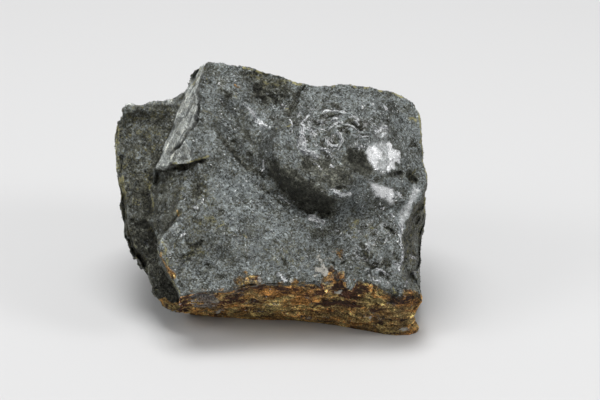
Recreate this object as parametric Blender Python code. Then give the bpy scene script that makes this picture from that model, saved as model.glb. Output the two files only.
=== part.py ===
"""A hand-sized lump of massive stibnite ore, broken on every side, at its real size in metres.

The lump is first a plain prism lying on its back, with the outline of its main face. Places on it
are given in the face frame: x to the right, v up along the main face, w out of it, in millimetres.
Its main face is sculpted, then the breaks are cut at its sides, its back and its underside, and
all of it is roughened as broken ore is. It stands on the flat patch of its underside.
World: +X to the right of the main face, +Z up, origin under the middle of the lump on the surface
it rests on.
"""

import math

import bmesh
import bpy
import numpy as np
from mathutils import Matrix, Vector, noise

MM = 0.001
NAME = "stibnite_specimen"

# Driving dimensions, in millimetres and degrees
FACE_LEAN = 36.0  # the main face leans back this far from upright
REST_DROP = 31.0  # from the middle of the main face straight down to the resting plane
PRISM_FRONT = 8.0  # above the highest point of the main face
PRISM_BACK = -62.0
SQUEEZE_ROOT = -18.0  # what lies in front of this depth is squeezed to shape the main face
FINE_VOXEL = 0.6
TRIANGLES = 10200  # before the flat patch is cut
REST_SPARE = 1.2  # left below the resting plane until the flat patch is cut

# Outline of the lump as the main face shows it, anticlockwise from the top left corner: (x, v)
OUTLINE = [
    (-24.2, 31.3), (-25.6, 27.8), (-26.6, 25.2), (-28.4, 24.6), (-34.3, 24.2), (-37.0, 23.0),
    (-44.0, 24.4), (-43.7, 16.3), (-44.2, 15.0), (-42.8, 8.1), (-41.0, 2.0), (-39.9, -3.0),
    (-38.6, -9.8), (-36.2, -13.4), (-34.2, -16.4), (-33.6, -20.0), (-31.6, -23.7), (-28.4, -27.0),
    (-27.0, -46.0), (27.6, -46.0), (27.8, -26.0), (28.8, -22.8), (28.7, -21.0), (27.3, -19.4),
    (27.3, -15.5), (27.9, -8.5), (28.4, 1.8), (28.9, 5.8), (27.8, 12.8), (27.8, 17.6),
    (27.2, 21.4), (24.4, 23.6), (20.9, 25.6), (16.1, 26.4), (9.3, 26.8), (2.3, 26.8),
    (-1.3, 27.4), (-1.8, 28.3), (-6.8, 29.9), (-15.0, 31.7), (-21.6, 32.7),
]

# Lines that run up the main face, each as (v, x) from low to high
MAIN_LEFT_EDGE = [
    (-26.0, -25.5), (-22.0, -26.8), (-17.6, -28.6), (-13.2, -31.5), (-10.6, -32.5), (-9.2, -32.0),
    (-6.0, -33.3), (-3.6, -34.4), (-2.6, -33.0), (3.6, -34.0), (8.1, -32.0), (10.8, -30.6),
    (14.5, -29.6), (17.7, -28.1), (22.1, -27.1), (25.6, -25.9), (28.5, -25.2), (31.0, -23.2),
]
LEFT_CREASE = [
    (-26.0, -25.0), (-17.6, -28.2), (-13.2, -31.0), (-9.2, -31.0), (-7.0, -29.0), (-2.0, -27.6),
    (8.0, -25.6), (9.6, -23.9), (13.5, -25.8), (15.9, -24.8), (18.2, -23.2), (25.6, -23.2),
    (31.0, -21.4),
]
RIGHT_RIDGE = [
    (-22.0, 26.5), (-19.0, 23.6), (-16.4, 22.5), (-12.3, 23.3), (-7.7, 22.9), (-5.3, 23.6),
    (-2.7, 25.0), (0.4, 27.2), (4.0, 28.3), (8.0, 30.0),
]
EDGE_STEP = 0.4  # half the width of the step down at the main block's left edge

# The valley that comes down from the upper left and bends round the foot of the bulge: (x, v)
VALLEY = [
    (-19.1, 16.6), (-10.1, 7.5), (-5.6, 2.3), (-2.3, -0.7), (2.7, -3.0), (7.9, -3.4), (14.6, -2.7),
    (22.5, -1.6),
]
VALLEY_DEPTH = 0.7
VALLEY_WIDTH = 2.6

FACE_TILT = -0.06  # rise of the plain face for each millimetre of v
TOP_EDGE_FALL = 1.2
TOP_EDGE_V = (23.0, 30.0)
RIGHT_EDGE_START = 14.0  # the face curves back beyond this x
RIGHT_EDGE_FALL = 0.02  # by this times the distance squared
RIDGE_FALL = 2.2  # how steeply the dark side falls away right of the ridge

BULGE_CENTRE = (9.0, 12.0)
BULGE_RADII = (19.2, 15.5)
BULGE_HEIGHT = 5.0
BULGE_CROWN = 1.2
BULGE_FOOT_WAY = (-0.77, -0.64)  # the foot is steepest on this side
BULGE_STEEP = 0.34  # width of the flank against the radius, at its steepest
BULGE_GENTLE = 0.86
BULGE_FACING = (0.0, 0.77)  # how far towards the foot the flank turns steep
BULGE_MIDDLE = 0.05  # no direction is told nearer the centre than this share of the radii

# Low relief: height in millimetres (minus for a dent), centre, radii, and turn in degrees
MAIN_RELIEF = [
    (-1.7, (-6.5, 23.0), (9.0, 5.5), -20.0),  # dent below the top edge
    (-1.0, (-17.5, 22.0), (2.6, 6.0), 30.0),  # notch right of the top left corner
    (1.3, (-16.0, 25.0), (9.0, 7.0), -30.0),  # swell at the top left
    (-0.9, (9.5, 2.0), (2.6, 1.9), 0.0),  # small pit on the bulge's flank
    (-1.3, (25.4, 3.6), (1.7, 3.0), 20.0),  # pit near the right edge
    (1.3, (17.0, -12.5), (8.0, 5.0), -30.0),  # swell at the lower right
    (2.2, (22.5, 3.0), (13.0, 9.0), 0.0),  # shoulder that carries the bulge over to the right
    (-1.2, (-20.0, -14.5), (7.0, 5.0), 15.0),  # hollow at the lower left
    (1.1, (-10.0, -9.0), (12.0, 8.0), -25.0),  # swell in the middle of the lower half
    (-1.0, (-14.0, 2.5), (7.0, 3.0), -45.0),  # shallow trough left of the valley
]

# The set-back slab at the left and the thin plates at its rim
SLAB_DEPTH = 9.0
SLAB_MIDDLE_X = -34.0
SLAB_TURN = 0.22  # it comes forward towards the main block
SLAB_LEAN = 0.05
SLAB_RIM_X = -40.9
RIM_PLATES = [(0.0, 1.5), (-0.9, 1.7), (-1.7, 2.2)]  # each plate's place left of the rim, and its step
PLATE_EDGE = 0.35

# The bevelled facets left of the crease: how far they fall to the edge of the main block
UPPER_BEVEL = 5.2
LOWER_BEVEL = 6.6  # reached between the two heights of LOWER_BEVEL_V
LOWER_BEVEL_V = (-12.0, -6.0)
BOTTOM_BEVEL = 1.2
NARROW_BEVEL = 0.6
LEDGE_V = (7.8, 8.6)  # the upper facet ends here in a ledge
LEDGE_STEP = 2.2
LEDGE_FADE_V = (-5.0, 7.0)
LEDGE_FADE_X = (-22.4, -24.4)

# The rusty lower face, from left to right: x, its v where it meets the plane of the main face, and
# how far v falls for each millimetre of depth. It faces further up at the right.
LOWER_FACE = [
    (-60.0, -60.0, 0.0), (-31.0, -29.0, 0.02), (-28.4, -24.0, 0.05), (-26.4, -22.0, 0.09),
    (-22.3, -21.2, 0.17), (-16.3, -20.6, 0.23), (-11.2, -19.6, 0.32), (-2.2, -19.3, 0.355),
    (3.6, -19.1, 0.42), (9.4, -18.6, 0.55), (15.2, -19.3, 0.66), (19.0, -20.8, 0.66),
    (22.0, -21.2, 0.69), (25.0, -20.2, 0.74), (28.0, -18.2, 0.74), (50.0, -18.0, 0.74),
]
LOWER_FRONT = 20.0  # the lower face is cut between these depths
LOWER_BACK = -80.0
LOWER_FLOOR = -120.0

# Flat breaks in the face frame: a point on each, and the way that it faces
FACE_BREAKS = [
    ((0.0, 29.7, -4.0), (0.15, 0.960, -0.240)),  # the top
    ((-14.0, 32.5, -14.0), (-0.30, 0.820, -0.480)),  # top left, behind the corner
    ((28.4, 4.0, -14.0), (0.930, 0.100, -0.350)),  # right side
    ((-43.0, 6.0, -17.0), (-0.940, 0.0, -0.340)),  # left side
    ((-31.0, -22.2, -14.0), (-0.640, -0.700, -0.310)),  # low left corner
]

# Flat breaks at the back and underneath, in world axes from the middle of the main face
BACK_BREAKS = [
    ((-8.0, 38.0, 4.0), (0.10, 0.960, 0.260)),
    ((-26.0, 37.5, 8.0), (-0.520, 0.800, 0.300)),
    ((20.0, 29.0, -8.0), (0.560, 0.820, -0.100)),
    ((-6.0, 33.0, -24.0), (-0.05, 0.900, -0.430)),
    ((-23.1, -4.0, -28.0), (-0.190, -0.256, -0.948)),  # the underside, rising to the left
]

# Smaller breaks knocked off the edges of the back
CHIP_SEED = 11
CHIP_COUNT = 16
CHIP_DEPTHS = (1.5, 4.0)
CHIP_SPREAD = 1.1  # how far their direction strays from straight back
CHIP_FRONT = -20.0  # edges in front of this depth are left whole

# The notch at the right end of the lower face: its depth, its place and radii in (v, w), and the
# stretch of x over which it deepens
NOTCH_DEPTH = 2.6
NOTCH_PLACE = (-25.4, -10.5)
NOTCH_RADII = (6.0, 5.0)
NOTCH_X = (20.0, 26.0)

# Roughness of broken ore: size of the relief, push on the main face, push on the other breaks
LUMPS = (11.0, 0.50, 1.00)
CHIPS = (5.0, 0.42, 0.75)
GRAINS = (2.6, 0.25, 0.25)
LUMP_SEED, CHIP_PATTERN_SEED, GRAIN_SEED, LAYER_SEED = 3.1, 1.7, 8.3, 5.9
TILT_SEED = 7  # of the ways in which the chips tilt
FRACTAL_ROUGHNESS, FRACTAL_GAIN, FRACTAL_OCTAVES = 0.9, 2.1, 3
CHIP_TILT = 2.0  # slope of a chip across its cell
CHIP_RIM = 0.4  # drop towards the rim of its cell
CELL_HASH = 3.7  # sets apart the tilts of cells that lie side by side
OTHER_BREAKS_DEPTH = (4.0, 16.0)  # behind the main face the push grows between these depths
LAYER_STEP = 1.0  # steps of the layers across the lower face, below the heights of LAYER_V
LAYER_SPACING = 3.2
LAYER_WAVE = 1.3
LAYER_WAVE_SIZE = 14.0
LAYER_RISER = 0.77  # share of the spacing over which a layer slopes before its step
LAYER_V = (-17.0, -20.0)
SETTLED_PUSH = 0.15  # share of the roughness that is left at the resting plane
SETTLED_HEIGHT = 3.0


def ramp(value, start, end):
    """0 at start, 1 at end, and a soft S between; start may be the larger."""
    t = np.clip((value - start) / (end - start), 0.0, 1.0)
    return t * t * (3.0 - 2.0 * t)


def line_at(line, v):
    """The x of a line that runs up the face, at each height v."""
    heights, places = zip(*line)
    return np.interp(v, heights, places)


def line_distance(x, v, line):
    """Distance from each (x, v) to the nearest point of a line of (x, v) points."""
    nearest = np.full(np.shape(x), np.inf)
    for (x0, v0), (x1, v1) in zip(line, line[1:]):
        length = math.hypot(x1 - x0, v1 - v0)
        ux, uv = (x1 - x0) / length, (v1 - v0) / length
        along = np.clip((x - x0) * ux + (v - v0) * uv, 0.0, length)
        nearest = np.minimum(nearest, np.hypot(x - x0 - along * ux, v - v0 - along * uv))
    return nearest


def hill(x, v, centre, radii, turn=0.0):
    """1 at the centre, falling to 0 at an ellipse with these radii, turned by so many degrees."""
    a = math.radians(turn)
    dx, dv = x - centre[0], v - centre[1]
    along = (dx * math.cos(a) + dv * math.sin(a)) / radii[0]
    across = (-dx * math.sin(a) + dv * math.cos(a)) / radii[1]
    return ramp(np.hypot(along, across), 1.0, 0.0)


def bulge(x, v):
    """The rounded bulge at the upper right: a steep flank at its lower left, gentle elsewhere."""
    dx = (x - BULGE_CENTRE[0]) / BULGE_RADII[0]
    dv = (v - BULGE_CENTRE[1]) / BULGE_RADII[1]
    radius = np.hypot(dx, dv)
    facing = (dx * BULGE_FOOT_WAY[0] + dv * BULGE_FOOT_WAY[1]) / np.maximum(radius, BULGE_MIDDLE)
    flank = BULGE_GENTLE + (BULGE_STEEP - BULGE_GENTLE) * ramp(facing, *BULGE_FACING)
    return BULGE_HEIGHT * ramp(radius, 1.0, 1.0 - flank) + BULGE_CROWN * ramp(radius, 1.0, 0.0)


def bevels(x, v):
    """The facets between the left crease and the left edge of the main block, as a drop in w."""
    crease, edge = line_at(LEFT_CREASE, v), line_at(MAIN_LEFT_EDGE, v)
    across = np.clip((crease - x) / np.maximum(crease - edge, NARROW_BEVEL), 0.0, 1.0)
    upper = ramp(v, *LEDGE_V)
    low = LOWER_BEVEL * ramp(v, *LOWER_BEVEL_V) + BOTTOM_BEVEL
    ledge = LEDGE_STEP * ramp(v, *LEDGE_FADE_V) * ramp(x, *LEDGE_FADE_X)
    return across * (upper * UPPER_BEVEL + (1.0 - upper) * low) + (1.0 - upper) * ledge


def left_slab(x, v):
    """Height of the set-back slab on the left, with the thin plates that step down at its rim."""
    height = -SLAB_DEPTH + SLAB_TURN * (x - SLAB_MIDDLE_X) + SLAB_LEAN * v
    rim = SLAB_RIM_X + SLAB_LEAN * v
    for offset, drop in RIM_PLATES:
        height = height - drop * ramp(x, rim + offset, rim + offset - PLATE_EDGE)
    return height


def main_face(x, v):
    """Height w of the lump's front over its own plane."""
    height = FACE_TILT * v + bulge(x, v) - bevels(x, v)
    height = height - VALLEY_DEPTH * ramp(line_distance(x, v, VALLEY), VALLEY_WIDTH, 0.0)
    for lift, centre, radii, turn in MAIN_RELIEF:
        height = height + lift * hill(x, v, centre, radii, turn)
    height = height - TOP_EDGE_FALL * ramp(v, *TOP_EDGE_V)
    height = height - RIGHT_EDGE_FALL * np.maximum(x - RIGHT_EDGE_START, 0.0) ** 2
    height = height - RIDGE_FALL * np.maximum(x - line_at(RIGHT_RIDGE, v), 0.0)
    inside = ramp(x - line_at(MAIN_LEFT_EDGE, v), -EDGE_STEP, EDGE_STEP)
    return inside * height + (1.0 - inside) * left_slab(x, v)


def face_points(mesh):
    """The mesh's points in the lying face frame, in millimetres, as an array of (x, v, w)."""
    points = np.empty(len(mesh.vertices) * 3)
    mesh.vertices.foreach_get("co", points)
    return points.reshape(-1, 3) / MM


def set_points(mesh, points):
    mesh.vertices.foreach_set("co", (points * MM).ravel())
    mesh.update()


def link_mesh(name, bm):
    """A new object in the scene that holds the bmesh, with its faces pointing out."""
    bmesh.ops.recalc_face_normals(bm, faces=bm.faces)
    mesh = bpy.data.meshes.new(name)
    bm.to_mesh(mesh)
    bm.free()
    piece = bpy.data.objects.new(name, mesh)
    bpy.context.scene.collection.objects.link(piece)
    return piece


def make_prism():
    """The outline as a face, extruded to the back."""
    bm = bmesh.new()
    rim = [bm.verts.new(Vector((x, v, PRISM_FRONT)) * MM) for x, v in OUTLINE]
    front = bm.faces.new(rim)
    grown = bmesh.ops.extrude_face_region(bm, geom=[front], use_keep_orig=True)["geom"]
    for part in grown:
        if isinstance(part, bmesh.types.BMVert):
            part.co.z = PRISM_BACK * MM
    return link_mesh(NAME, bm)


def apply_modifier(lump, kind, **settings):
    """Adds one modifier and keeps its result as the object's mesh."""
    modifier = lump.modifiers.new(kind, kind)
    for name, value in settings.items():
        setattr(modifier, name, value)
    graph = bpy.context.evaluated_depsgraph_get()
    mesh = bpy.data.meshes.new_from_object(lump.evaluated_get(graph))
    lump.modifiers.clear()
    old = lump.data
    lump.data = mesh
    bpy.data.meshes.remove(old)
    mesh.name = NAME


def remesh(lump):
    apply_modifier(lump, "REMESH", mode="VOXEL", voxel_size=FINE_VOXEL * MM)


def cut(lump, point, normal):
    """Breaks away what lies outside the plane through the point, and closes the break."""
    bm = bmesh.new()
    bm.from_mesh(lump.data)
    everything = bm.verts[:] + bm.edges[:] + bm.faces[:]
    made = bmesh.ops.bisect_plane(
        bm, geom=everything, plane_co=Vector(point) * MM, plane_no=Vector(normal), clear_outer=True
    )["geom_cut"]
    edges = [part for part in made if isinstance(part, bmesh.types.BMEdge)]
    bmesh.ops.holes_fill(bm, edges=edges)
    bmesh.ops.recalc_face_normals(bm, faces=bm.faces)
    bm.to_mesh(lump.data)
    bm.free()


def sculpt_front(lump):
    """Squeezes the front of the prism so that its face lands on main_face(x, v)."""
    points = face_points(lump.data)
    wanted = main_face(points[:, 0], points[:, 1])
    share = (points[:, 2] - SQUEEZE_ROOT) / (PRISM_FRONT - SQUEEZE_ROOT)
    squeezed = SQUEEZE_ROOT + share * (wanted - SQUEEZE_ROOT)
    points[:, 2] = np.where(share > 0.0, squeezed, points[:, 2])
    set_points(lump.data, points)


def carve_lower_face(lump):
    """Takes away what lies below the lower face, with a solid whose top is that face."""
    bm = bmesh.new()
    rows = []
    for x, v, fall in LOWER_FACE:
        front = Vector((x, v + fall * LOWER_FRONT, LOWER_FRONT)) * MM
        back = Vector((x, v + fall * LOWER_BACK, LOWER_BACK)) * MM
        rows.append((bm.verts.new(front), bm.verts.new(back)))
    for (front, back), (next_front, next_back) in zip(rows, rows[1:]):
        bm.faces.new((front, next_front, next_back, back))
    grown = bmesh.ops.extrude_face_region(bm, geom=bm.faces[:], use_keep_orig=True)["geom"]
    for part in grown:
        if isinstance(part, bmesh.types.BMVert):
            part.co.y = LOWER_FLOOR * MM
    cutter = link_mesh("below_lower_face", bm)
    apply_modifier(lump, "BOOLEAN", operation="DIFFERENCE", object=cutter, solver="EXACT")
    bpy.data.objects.remove(cutter)


def chip_back(lump):
    """Knocks small flat breaks off the edges of the back."""
    chance = np.random.default_rng(CHIP_SEED)
    for _ in range(CHIP_COUNT):
        way = np.array([*chance.uniform(-CHIP_SPREAD, CHIP_SPREAD, 2), -1.0])
        way = way / np.linalg.norm(way)
        depth = chance.uniform(*CHIP_DEPTHS)
        points = face_points(lump.data)
        reach = points @ way
        if points[reach > reach.max() - depth, 2].max() < CHIP_FRONT:
            cut(lump, way * (reach.max() - depth), way)


def fractal(place, size, seed):
    """Soft fractal relief from -1 to 1 at a place in millimetres, for lumps of one size."""
    spot = Vector(place) / size + Vector((seed, -seed, 2.0 * seed))
    return noise.fractal(spot, FRACTAL_ROUGHNESS, FRACTAL_GAIN, FRACTAL_OCTAVES)


def facets(place, size, seed):
    """Relief of broken facets: each cell tilts its own way, from about -1 to 1."""
    spot = Vector(place) / size + Vector((seed, seed, -seed))
    distances, centres = noise.voronoi(spot)
    way = noise.noise_vector(centres[0] * CELL_HASH)
    return CHIP_TILT * (spot - centres[0]).dot(way) - CHIP_RIM * (distances[1] - distances[0])


def layers(place):
    """Steps of the layers that lie along the main face, where a break cuts across them."""
    wave = LAYER_WAVE * fractal((place[0], 0.0, place[2] * 0.5), LAYER_WAVE_SIZE, LAYER_SEED)
    step = ((place[2] + wave) / LAYER_SPACING) % 1.0
    return ramp(step, 0.0, LAYER_RISER) - 0.5


def roughen(lump, stand_up):
    """Pushes each point along its normal by the relief that its kind of break has."""
    mesh = lump.data
    points = face_points(mesh)
    normals = np.empty(len(mesh.vertices) * 3)
    mesh.vertex_normals.foreach_get("vector", normals)
    normals = normals.reshape(-1, 3)
    moved = points.copy()
    for i, (place, normal) in enumerate(zip(points, normals)):
        side = (1.0 - max(0.0, normal[2])) * ramp(-place[2], *OTHER_BREAKS_DEPTH)
        lower = max(0.0, -normal[1]) * ramp(place[1], *LAYER_V)
        push = (LUMPS[1] + (LUMPS[2] - LUMPS[1]) * side) * fractal(place, LUMPS[0], LUMP_SEED)
        push += (CHIPS[1] + (CHIPS[2] - CHIPS[1]) * side) * facets(place, CHIPS[0], CHIP_PATTERN_SEED)
        push += (GRAINS[1] + (GRAINS[2] - GRAINS[1]) * side) * fractal(place, GRAINS[0], GRAIN_SEED)
        push += lower * LAYER_STEP * layers(place)
        height = (stand_up @ Vector(place)).z + REST_DROP
        settled = SETTLED_PUSH + (1.0 - SETTLED_PUSH) * ramp(height, 0.0, SETTLED_HEIGHT)
        moved[i] = place + normal * push * settled
    inward = hill(points[:, 1], points[:, 2], NOTCH_PLACE, NOTCH_RADII)
    moved[:, 0] -= NOTCH_DEPTH * inward * ramp(points[:, 0], *NOTCH_X)
    set_points(mesh, moved)


def ore_material():
    """Lead-grey ore with a dull metallic lustre."""
    material = bpy.data.materials.new("stibnite_ore")
    material.use_nodes = True
    shader = material.node_tree.nodes["Principled BSDF"]
    shader.inputs["Base Color"].default_value = (0.15, 0.16, 0.165, 1.0)
    shader.inputs["Roughness"].default_value = 0.45
    shader.inputs["Metallic"].default_value = 0.6
    return material


def shift_to_origin(mesh, base):
    """The move that puts the middle of the mesh's box over the origin and its base at z = 0."""
    middle = Vector((0.0, 0.0, base))
    for axis in (0, 1):
        places = [vert.co[axis] for vert in mesh.vertices]
        middle[axis] = (min(places) + max(places)) / 2.0
    return -middle


def main():
    for old in list(bpy.data.objects):
        bpy.data.objects.remove(old)
    noise.seed_set(TILT_SEED)
    stand_up = Matrix.Rotation(math.radians(90.0 - FACE_LEAN), 4, "X")
    lie_down = stand_up.inverted()
    lump = make_prism()
    remesh(lump)
    sculpt_front(lump)
    carve_lower_face(lump)
    for point, normal in FACE_BREAKS:
        cut(lump, point, normal)
    rest = ((0.0, 0.0, -REST_DROP - REST_SPARE), (0.0, 0.0, -1.0))
    for point, normal in [*BACK_BREAKS, rest]:
        cut(lump, lie_down @ Vector(point), lie_down @ Vector(normal))
    chip_back(lump)
    remesh(lump)
    roughen(lump, stand_up)
    remesh(lump)
    faces = sum(len(face.vertices) - 2 for face in lump.data.polygons)
    apply_modifier(lump, "DECIMATE", ratio=TRIANGLES / faces)
    lump.data.transform(stand_up)
    cut(lump, (0.0, 0.0, -REST_DROP), (0.0, 0.0, -1.0))
    shift = shift_to_origin(lump.data, -REST_DROP * MM)
    lump.data.transform(Matrix.Translation(shift))
    lump["main_face_origin"] = shift  # where the middle of the main face ends up
    lump.data.materials.append(ore_material())


main()
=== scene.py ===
# %% [markdown]
# # A broken lump of stibnite ore
# Stibnite is the chief ore of antimony: a soft, lead-grey sulphide that grows as blades. In massive
# ore the blades are a millimetre or two long and lie packed together, so that a broken face looks
# like salt and pepper, with silvery glints. This lump is about seven centimetres wide. Its main face
# leans back, and has a rounded, partly polished bulge at the upper right, pale facets and a set-back
# slab at the left, and below it a face stained with rust along its layers.
#
# The solid comes from a fixed frame. This lesson dresses it: a finer skin is laid over the solid,
# carved with the small forms, roughened and coloured, and then sown with thousands of tiny blades.

# %% Load the fixed frame
import math

import bpy
import numpy as np
from mathutils import Matrix, Vector, noise


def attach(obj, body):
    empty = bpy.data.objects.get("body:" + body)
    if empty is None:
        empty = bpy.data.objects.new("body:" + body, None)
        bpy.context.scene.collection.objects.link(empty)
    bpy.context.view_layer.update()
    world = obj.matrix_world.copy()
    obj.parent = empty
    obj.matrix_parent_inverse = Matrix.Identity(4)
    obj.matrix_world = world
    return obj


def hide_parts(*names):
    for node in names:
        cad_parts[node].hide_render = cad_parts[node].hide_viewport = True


NODE = "stibnite_specimen"

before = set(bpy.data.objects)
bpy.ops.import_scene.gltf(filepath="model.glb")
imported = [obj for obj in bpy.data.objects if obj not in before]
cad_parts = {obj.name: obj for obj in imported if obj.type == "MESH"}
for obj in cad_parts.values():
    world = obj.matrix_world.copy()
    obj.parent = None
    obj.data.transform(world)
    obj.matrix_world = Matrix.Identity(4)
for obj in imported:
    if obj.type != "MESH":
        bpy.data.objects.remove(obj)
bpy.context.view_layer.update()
noise.seed_set(5)

# %% [markdown]
# ## The frame of the main face
# Places on a leaning face are awkward to give in world axes. So each place in this lesson is given
# in millimetres in the face's own frame: x to the right, v up along the main face, w out of it. One
# matrix stands that frame up, and the same turn is used later by the materials.

# %% Stand the face's frame up
FACE_MIDDLE = Vector((0.006992, -0.013496, 0.031))
FACE_LEAN = 36.0
MM = 0.001

TURN = np.array(Matrix.Rotation(math.radians(90.0 - FACE_LEAN), 3, "X"))

def to_face(points):
    """World points in metres as (x, v, w) in millimetres."""
    return (points - np.array(FACE_MIDDLE)) @ TURN / MM

def to_world(points):
    """(x, v, w) in millimetres as world points in metres."""
    return points @ TURN.T * MM + np.array(FACE_MIDDLE)

print("the middle of the main face is", round(FACE_MIDDLE.z / MM, 1), "mm above the floor")

# %% [markdown]
# ## Camera
# The camera looks down at the lump by 28 degrees, with a long lens from half a metre, so that the
# sides hardly converge. It aims at the middle of the main face.

# %% Set the camera
CAMERA_DOWN = 28.0
CAMERA_DISTANCE = 0.54
CAMERA_LENS = 144.0

dip = math.radians(CAMERA_DOWN)
sight = Vector((0.0, math.cos(dip), -math.sin(dip)))
camera_data = bpy.data.cameras.new("camera")
camera_data.lens = CAMERA_LENS
camera_data.sensor_width = 36.0
camera = bpy.data.objects.new("camera", camera_data)
bpy.context.scene.collection.objects.link(camera)
camera.location = FACE_MIDDLE - sight * CAMERA_DISTANCE
camera.rotation_euler = sight.to_track_quat("-Z", "Y").to_euler()
bpy.context.scene.camera = camera
print("camera at", [round(c, 3) for c in camera.location])

# %% [markdown]
# ## Floor and light
# A pale floor runs far past the picture's edges. The light is soft: a pale room, a broad lamp
# overhead, and a smaller one at each side. The one at the right shines back from the polished side
# of the bulge.

# %% Lay the floor
FLOOR_SIZE = 4.0

bpy.ops.mesh.primitive_plane_add(size=FLOOR_SIZE, location=(0.0, 0.0, 0.0))
floor = bpy.context.object
floor.name = "floor"
floor_paint = bpy.data.materials.new("floor_paint")
floor_paint.use_nodes = True
floor_shader = floor_paint.node_tree.nodes["Principled BSDF"]
floor_shader.inputs["Base Color"].default_value = (0.655, 0.655, 0.66, 1.0)
floor_shader.inputs["Roughness"].default_value = 0.9
floor_shader.inputs["Specular IOR Level"].default_value = 0.2
floor.data.materials.append(floor_paint)
print("a floor of", FLOOR_SIZE, "by", FLOOR_SIZE, "m")

# %% Light the room
ROOM = 0.30
LAMPS = [  # name, place, size, power
    ("overhead_lamp", (-0.05, 0.05, 0.75), 0.42, 4.5),
    ("right_lamp", (0.52, -0.17, 0.32), 0.16, 1.1),
    ("left_lamp", (-0.60, -0.20, 0.45), 0.30, 1.2),
]

def add_lamp(name, place, size, power):
    """A square lamp that shines at the lump."""
    lamp = bpy.data.lights.new(name, "AREA")
    lamp.size, lamp.energy = size, power
    holder = bpy.data.objects.new(name, lamp)
    bpy.context.scene.collection.objects.link(holder)
    holder.location = place
    aim = FACE_MIDDLE - Vector(place)
    holder.rotation_euler = aim.to_track_quat("-Z", "Y").to_euler()

for lamp_values in LAMPS:
    add_lamp(*lamp_values)
room = bpy.data.worlds.new("room")
room.use_nodes = True
room.node_tree.nodes["Background"].inputs["Color"].default_value = (1.0, 1.0, 0.985, 1.0)
room.node_tree.nodes["Background"].inputs["Strength"].default_value = ROOM
bpy.context.scene.world = room
bpy.context.scene.view_settings.view_transform = "Standard"
print(len(LAMPS), "lamps")

# %% [markdown]
# ## A finer skin
# The solid has faces of about two millimetres, too coarse for ore. A copy of its mesh is merged,
# rebuilt from small voxels as an even net of quads, cut finer on the broken faces at the front, and
# smoothed until the flat facets are gone. A sculptor would start from the same kind of net.

# %% Copy the solid and rebuild it as a fine net
VOXEL = 0.66

def select_only(piece):
    """Makes one piece the only one that operators act on."""
    bpy.ops.object.select_all(action="DESELECT")
    piece.select_set(True)
    bpy.context.view_layer.objects.active = piece

def apply_modifier(piece, kind, **settings):
    """Adds one modifier to the piece and applies it."""
    select_only(piece)
    bpy.ops.object.modifier_add(type=kind)
    modifier = piece.modifiers[-1]
    for name, value in settings.items():
        setattr(modifier, name, value)
    bpy.ops.object.modifier_apply(modifier=modifier.name)

def edit(piece):
    """Opens one piece in edit mode with faces as the thing selected."""
    select_only(piece)
    bpy.ops.object.mode_set(mode="EDIT")
    bpy.ops.mesh.select_mode(type="FACE")

ore = bpy.data.objects.new("ore_lump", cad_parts[NODE].data.copy())
bpy.context.scene.collection.objects.link(ore)
ore.data.materials.clear()
edit(ore)
bpy.ops.mesh.select_all(action="SELECT")
bpy.ops.mesh.remove_doubles(threshold=0.000001)
bpy.ops.object.mode_set(mode="OBJECT")
apply_modifier(ore, "REMESH", mode="VOXEL", voxel_size=VOXEL * MM)
print("even net of", len(ore.data.polygons), "quads")

# %% Cut the net finer where the broken faces look forward
FINE_NORMAL = 0.0  # faces that look this much forward, or more
FINE_BACK = -21.0  # and lie in front of this depth
TO_CAMERA = np.array((0.0, -0.139, 0.990))  # the way from the lump to the camera, in the face frame
SMOOTH_STEPS = 6

def read(items, field, width=1, kind=float):
    """One field of all points, edges, corners or faces of a mesh, as an array."""
    values = np.empty(len(items) * width, kind)
    items.foreach_get(field, values)
    return values.reshape(-1, width) if width > 1 else values

def net_arrays(mesh):
    """Places and normals of a mesh's points in the face frame."""
    return to_face(read(mesh.vertices, "co", 3)), read(mesh.vertex_normals, "vector", 3) @ TURN

def face_arrays(mesh):
    """Middles and normals of a mesh's faces in the face frame."""
    return to_face(read(mesh.polygons, "center", 3)), read(mesh.polygons, "normal", 3) @ TURN

middles, face_normals = face_arrays(ore.data)
fine = (face_normals @ TO_CAMERA > FINE_NORMAL) & (middles[:, 2] > FINE_BACK)
edit(ore)
bpy.ops.mesh.select_all(action="DESELECT")
bpy.ops.object.mode_set(mode="OBJECT")
ore.data.polygons.foreach_set("select", fine)
bpy.ops.object.mode_set(mode="EDIT")
bpy.ops.mesh.subdivide(number_cuts=1, ngon=False, quadcorner="INNERVERT")
bpy.ops.object.mode_set(mode="OBJECT")
apply_modifier(ore, "SMOOTH", factor=0.5, iterations=SMOOTH_STEPS)
print("after the finer cut:", sum(len(face.vertices) - 2 for face in ore.data.polygons), "triangles")

# %% [markdown]
# ## Tools for carving
# Small forms on the face are carved by moving the net's points along their normals. Each form is
# told by its place: a round patch, a line with two sides, or a repeating pattern of cells.

# %% Make the tools for soft shapes
def ramp(value, start, end):
    """0 at start, 1 at end, with a soft S between; start may be the larger."""
    t = np.clip((value - start) / (end - start), 0.0, 1.0)
    return t * t * (3.0 - 2.0 * t)

def patch(x, v, middle, radii, turn=0.0):
    """1 in the middle of an ellipse turned by so many degrees, and 0 at its rim."""
    a = math.radians(turn)
    dx, dv = x - middle[0], v - middle[1]
    along = (dx * math.cos(a) + dv * math.sin(a)) / radii[0]
    across = (-dx * math.sin(a) + dv * math.cos(a)) / radii[1]
    return ramp(np.hypot(along, across), 1.0, 0.0)

def most(*masks):
    """The strongest of several masks at each point."""
    return np.maximum.reduce(masks)

print("a ramp is", ramp(0.25, 0.0, 1.0), "a quarter of the way up")

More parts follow.
